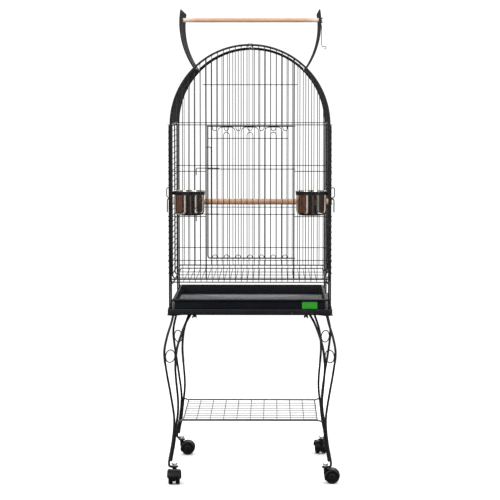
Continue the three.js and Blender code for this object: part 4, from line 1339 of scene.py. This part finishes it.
@dataclass
class Stand(Assembly):
    """Four bent-rod legs with their bolts, the shelf, and the casters.

    The rods' points are [s, z], where x is s times the root of 2. A corner is a name, a
    direction and its caster's.
    """

    outer_rod: tuple[tuple[float, float], ...] = (
        (0.2425, 0.5355), (0.249, 0.509), (0.262, 0.466), (0.2695, 0.418), (0.262, 0.353), (0.252, 0.292),
        (0.2415, 0.22),
        (0.241, 0.178), (0.246, 0.13), (0.2525, 0.092), (0.2565, 0.068), (0.255, 0.057), (0.248, 0.0526))
    inner_rod: tuple[tuple[float, float], ...] = (
        (0.188, 0.5355), (0.205, 0.506), (0.219, 0.47), (0.2315, 0.427), (0.2366, 0.374), (0.234, 0.325),
        (0.229, 0.268),
        (0.229, 0.226), (0.2345, 0.18), (0.24, 0.128), (0.2464, 0.092), (0.25, 0.072))
    rod: float = 0.00375
    ties: tuple[float, ...] = (0.174, 0.08)
    ornament: float = 0.407
    ornament_wire: float = 0.00175
    plate: tuple[float, float] = (0.168, 0.252)
    plate_top: float = 0.5383
    bolt: float = 0.178
    shelf_height: float = 0.195
    shelf_half: float = 0.2175
    shelf_deep: float = 0.205
    shelf_reach: float = 0.22855
    shelf_wires: tuple[int, int] = (9, 11)
    caster_at: float = 0.24
    trail: float = 0.021
    wheel: float = 0.0225
    wheel_width: float = 0.0135
    web: float = 0.008
    hood_width: float = 0.044
    hood_wall: float = 0.0016
    hood_lip: float = 0.0062
    hood_arc: tuple[float, float] = (6, 205)
    web_arc: tuple[float, float] = (-24, 218)
    bolt_stretch: float = 1.7
    side_inset: float = 0.003
    shelf_edge: float = 0.0028
    shelf_side: float = 0.0022
    shelf_wire: float = 0.00125
    corners: tuple[tuple[str, float, float], ...] = (
        ("front_left", -135, -90), ("front_right", -45, 0), ("back_right", 45, 98), ("back_left", 135, 0))

    @staticmethod
    def diagonal(points: Sequence[tuple[float, float]]) -> list[tuple[float, float, float]]:
        """[s, z] points on the diagonal plane: x is s times the root of 2."""
        return [(s * ROOT_TWO, 0.0, z) for s, z in points]

    def leg(self) -> Shell:
        """A leg in the plane y = 0: two spline rods, ties, a ring ornament, top plate and caster pad."""
        outer, inner = spline(self.diagonal(self.outer_rod), 7), spline(self.diagonal(self.inner_rod), 7)
        made = Shell().tubes(outer, self.rod, Y, 14).tubes(inner, self.rod, Y, 14)

        def reach(z: float) -> np.ndarray:
            """How far out the inner and the outer rod are at a height."""
            return np.array([np.interp(z, rod[::-1, 2], rod[::-1, 0]) for rod in (inner, outer)])

        for z in self.ties:
            a, b = reach(z) + (-0.003, 0.003)
            made.plate(slab((b - a) / 2, 0.005, 0.0016, 4) + ((a + b) / 2, z), 0.006, 0.0012)
        (a, b), z = reach(self.ornament), self.ornament
        ring, meets = (b - a) / 2 - self.rod - 0.0008, self.rod + 0.0003
        made.merged(eye(((a + b) / 2, 0, z), ring, self.ornament_wire, "y"))
        made.welds(points((a + meets, b - meets), 0, z), 0.0026)
        start, end = (s * ROOT_TWO for s in self.plate)
        middle = self.plate_top - 0.00125
        made.sweep(line((start, 0, middle), (end, 0, middle), 6), slab(0.015, 0.00125, 0.0008), Z,
                   nose=0.0006)
        made.welds(np.array([outer[0], inner[0]]) - (0, 0, 0.0006), 0.0048)
        rim = [(0.0044, 0.05), (0.0115, 0.05), (0.012, 0.0505), (0.012, 0.0533), (0.0113, 0.054),
               (0.0044, 0.054)]
        pad = Shell().lathe(rim, 32, looped=True)
        return made.merged(pad.moved(shift=(self.caster_at * ROOT_TWO, 0, 0)))

    def shelf(self) -> Shell:
        """The shelf: front and back rods with their ends bent to the legs, side rods, and a welded grid."""
        z, x, y, reach = self.shelf_height, self.shelf_half, self.shelf_deep, self.shelf_reach
        made, wire, inner = Shell(), self.shelf_wire, self.shelf_half - self.side_inset
        for s in (-1, 1):
            path = fillet([(-reach, s * reach, z), (-x, s * y, z), (x, s * y, z), (reach, s * reach, z)],
                          0.006, 7)
            made.tubes(path, self.shelf_edge, Z, 12)
        sides = (-inner, inner)
        made.bars(points(sides, -y, z - 0.002), points(sides, y, z - 0.002), self.shelf_side, Z, 10)
        xs, ys = between(-inner, inner, self.shelf_wires[0]), between(-y, y, self.shelf_wires[1])
        under = z - 2 * wire + 0.0001
        made.bars(points(xs, -y, z), points(xs, y, z), wire, Z)
        made.bars(points(-inner, ys, under), points(inner, ys, under), wire, Z)
        return made.welds(points(xs, column(ys), z - wire), 0.0016)

    def hood(self) -> Shell:
        """A caster's hood about its swivel axis, trailing towards +X.

        It is a canopy with its lips turned in over the wheels, a web between them, a neck, and the stem.
        """
        outer, wall, width, lip = self.wheel + 0.0027, self.hood_wall, self.hood_width / 2, self.hood_lip
        centre = (self.trail, 0, self.wheel)
        canopy = arc(centre, outer - wall / 2, *self.hood_arc, X, Z, 40)
        over, under = (arc((wall / 2 - lip, lip - width, 0), radius, 180, 90, Y, X, 7)[:, :2]
                       for radius in (lip, lip - wall))
        skin = np.vstack([under, under[::-1] * (1, -1), over * (1, -1), over[::-1]]) * (-1, 1)
        made = Shell().sweep(canopy, skin, Y, nose=0.0006)
        made.plate(arc(centre, outer - 0.001, *self.web_arc, X, Z, 44)[:, [0, 2]], self.web, 0.0008)
        neck = fillet([(-0.0058, 0.0285), (0.0132, 0.0285), (0.0132, 0.0452), (0.006, 0.0457),
                       (-0.0045, 0.0457),
                       (-0.0058, 0.043)], 0.002, 4, closed=True)
        made.plate(neck, self.web, 0.0009)
        made.lathe([(0, 0.031), (0.004, 0.031), (0.004, 0.0439), (0.0066, 0.044), (0.007, 0.0445),
                    (0.007, 0.0488),
                    (0.0065, 0.0493), (0.004, 0.0494), (0.004, 0.0568), (0.0031, 0.058), (0, 0.058)], 28)
        face = self.web / 2 + 0.0006
        boss = Shell().lathe([(0, -face), (0.0052, -face), (0.0052, face), (0, face)], 24)
        return made.merged(boss.moved(turn(X, 90), centre))

    def wheels(self) -> Shell:
        """Both wheels on their axle, about the axle: rounded treads, dished faces, and hub caps."""
        r, inside = self.wheel, self.web / 2 + 0.0008
        out = inside + self.wheel_width
        half = [(0.0029, inside), (r - 0.002, inside), (r - 0.0008, inside + 0.0004),
                (r - 0.0002, inside + 0.0013),
                (r, inside + 0.0028), (r, out - 0.0036), (r - 0.0004, out - 0.0019),
                (r - 0.0013, out - 0.0009),
                (r - 0.0026, out - 0.0006), (r - 0.0036, out - 0.0011), (r - 0.0043, out - 0.0021),
                (0.0112, out - 0.0024),
                (0.0101, out - 0.0016), (0.0093, out - 0.0005), (0.0078, out), (0.003, out), (0, out)]
        profile = [(radius, -z) for radius, z in reversed(half)] + half
        return Shell().lathe(profile, 56).moved(turn(X, 90))

    def build(self) -> None:
        """Makes the legs, bolts, casters and shelf."""
        leg, hood, wheels, nut = self.leg(), self.hood(), self.wheels(), wing_nut(0.008, 0.006, 0.0043)
        bolt = wing_nut(0.0065, 0.0034).moved(turn(X, 180)).moved(np.diag((1.0, 1.0, self.bolt_stretch)))
        bolt = bolt.moved(shift=(self.bolt * ROOT_TWO, 0, self.plate_top - 0.0029))
        for name, corner, trail in self.corners:
            spin, aim, body = turn(Z, corner), turn(Z, trail), f"caster_{name}"
            swivel = spin @ np.array([self.caster_at * ROOT_TWO, 0, 0])
            axle = swivel + aim @ np.array([self.trail, 0, self.wheel])
            parts = (("bent_leg", leg.moved(spin), BLACK_FRAME, "cage", "leg"),
                     ("wing_bolt", bolt.moved(spin), BLACK_FRAME, "cage", "leg_bolt"),
                     ("hood", hood.moved(aim, swivel), CASTER_PLASTIC, body, "caster_hood"),
                     ("wheel_pair", wheels.moved(aim, axle), CASTER_PLASTIC, f"wheels_{name}",
                      "caster_wheels"),
                     ("stem_nut", nut.moved(shift=swivel + (0, 0, 0.0543)), ZINC, "cage", "caster_nut"))
            for piece, shell, finish, rides, node in parts:
                add_piece(f"{piece}_{name}", shell, finish, rides, f"{node}_{name}")
        add_piece("shelf_grid", self.shelf(), SHELF_WIRE, "cage", "shelf")


# ---------------------------------------------------------------- studio


class Panel(Enum):
    """The soft lights: where each stands, its size in metres and its power in watts."""

    KEY = ((-2.6, -3.4, 3.2), 2.4, 90.0)
    FILL = ((3.0, -3.0, 2.2), 2.4, 60.0)
    RIM = ((0.5, 3.2, 3.0), 2.6, 70.0)


@dataclass
class Studio:
    """A white room for the cage: lights, a long lens, a pale floor, and walls for metal to mirror.

    A strip is its place and width along the direction's x, and its power.
    """

    floor_size: float = 2.6
    camera_place: tuple[float, float, float] = (0.072, -6.131, 1.223)
    camera_down: float = 4.66
    camera_aside: float = 0.70
    lens: float = 135.2
    sky: float = 1.12
    strips: tuple[tuple[float, float, float], ...] = ((-0.56, 0.14, 1.7), (0.74, 0.12, 1.9),
                                                      (0.2, 0.08, 0.15))
    folds: float = 9.0
    low_light: tuple[float, ...] = (0.3, 0.3, 0.31, 1.0)
    high_light: tuple[float, ...] = (1.25, 1.25, 1.25, 1.0)
    strip_light: tuple[float, ...] = (0.92, 0.94, 0.95, 1.0)
    aim: tuple[float, float, float] = (0, 0, 0.8)

    def floor(self) -> None:
        """A shallow white disc whose top is z = 0, with its edge rounded off."""
        r = self.floor_size
        made = Shell().lathe([(0, -0.3), (r, -0.3), (r, -0.1), (r - 0.1, 0), (0, 0)], 64)
        obj = bpy.data.objects.new("floor", made.mesh("floor", smooth_angle=30))
        paint = bpy.data.materials.new("floor_paint")
        paint.use_nodes = True
        nodes = Nodes(paint.node_tree)
        shader = paint.node_tree.nodes["Principled BSDF"]
        mottle = nodes.noise(3.0, detail=3)
        nodes.feed(shader.inputs["Base Color"], nodes.mix(mottle * 0.3, linear("fbfbfb"), linear("f6f6f6")))
        nodes.feed(shader.inputs["Roughness"], 0.9)
        nodes.feed(shader.inputs["Specular IOR Level"], 0.1)
        obj.data.materials.append(paint)
        obj.visible_glossy = obj.visible_diffuse = False
        bpy.context.scene.collection.objects.link(obj)

    def world(self) -> None:
        """White to the camera; brighter above than below to soft light; brown and dark walls to mirrors.

        A strip's light is 1 - |x - its place| / its width over the direction's x, kept above 0. The dark wall
        is folded: its colour runs with the sine of x.
        """
        world = bpy.data.worlds.new("studio")
        world.use_nodes = True
        bpy.context.scene.world = world
        nodes = Nodes(world.node_tree)
        way = nodes.add("ShaderNodeTexCoord", output="Generated")
        x, z = (nodes.add("ShaderNodeSeparateXYZ", None, {0: way}, axis) for axis in "XZ")
        light = nodes.step(z, 0.25, 0.9) * 0.6
        for place, width, power in self.strips:
            light = light + (1 - abs(x - place) / width).math("MAXIMUM", 0.0) * power
        folds = (x * self.folds).math("SINE") * 0.5 + 0.5
        dark = nodes.mix(folds, linear("201f20"), linear("4a3b38"))
        walls = nodes.mix(nodes.step(x, -0.6, -0.8), dark, linear("7a5545"))
        mirrored = nodes.mix(light.math("MINIMUM", 1.0), walls, self.strip_light)
        glossy, diffuse = (nodes.add("ShaderNodeLightPath", output=f"Is {ray} Ray")
                           for ray in ("Glossy", "Diffuse"))
        shade = nodes.mix(nodes.step(z, -0.25, 0.35), self.low_light, self.high_light)
        seen = nodes.mix(diffuse, (self.sky, self.sky, self.sky, 1.0), shade)
        nodes.feed(world.node_tree.nodes["Background"].inputs["Color"], nodes.mix(glossy, seen, mirrored))

    def lights(self) -> None:
        """Square soft panels, each aimed at a point near the middle of the cage."""
        for panel in Panel:
            place, size, power = panel.value
            data = bpy.data.lights.new(panel.name.lower(), "AREA")
            data.shape, data.size, data.energy = "SQUARE", size, power
            obj = bpy.data.objects.new(data.name, data)
            obj.location = place
            x, y, z = np.array(self.aim) - place
            obj.rotation_euler = (math.atan2(math.hypot(x, y), -z), 0, math.atan2(y, x) - math.pi / 2)
            bpy.context.scene.collection.objects.link(obj)

    def camera(self) -> None:
        """A long lens in front, a little above the middle."""
        data = bpy.data.cameras.new("camera")
        data.lens, data.sensor_width = self.lens, 36.0
        obj = bpy.data.objects.new("camera", data)
        obj.location = self.camera_place
        obj.rotation_euler = (math.radians(90 - self.camera_down), 0, math.radians(self.camera_aside))
        bpy.context.scene.collection.objects.link(obj)
        bpy.context.scene.camera = obj

    def build(self) -> None:
        """Makes the camera, world, lights and floor."""
        self.camera()
        self.world()
        self.lights()
        self.floor()
        bpy.context.scene.view_settings.view_transform = "Standard"


def main() -> None:
    """Builds the studio and the cage."""
    logging.basicConfig(level=logging.INFO, format="%(name)s: %(message)s")
    Studio().build()
    layout = Layout()
    for assembly in (EndWall, SideWalls, Roof, FrontDoor, Feeders, Base, Perches, Stand):
        log.info("building %s", assembly.__name__)
        assembly(layout).build()


if __name__ == "__main__":
    main()
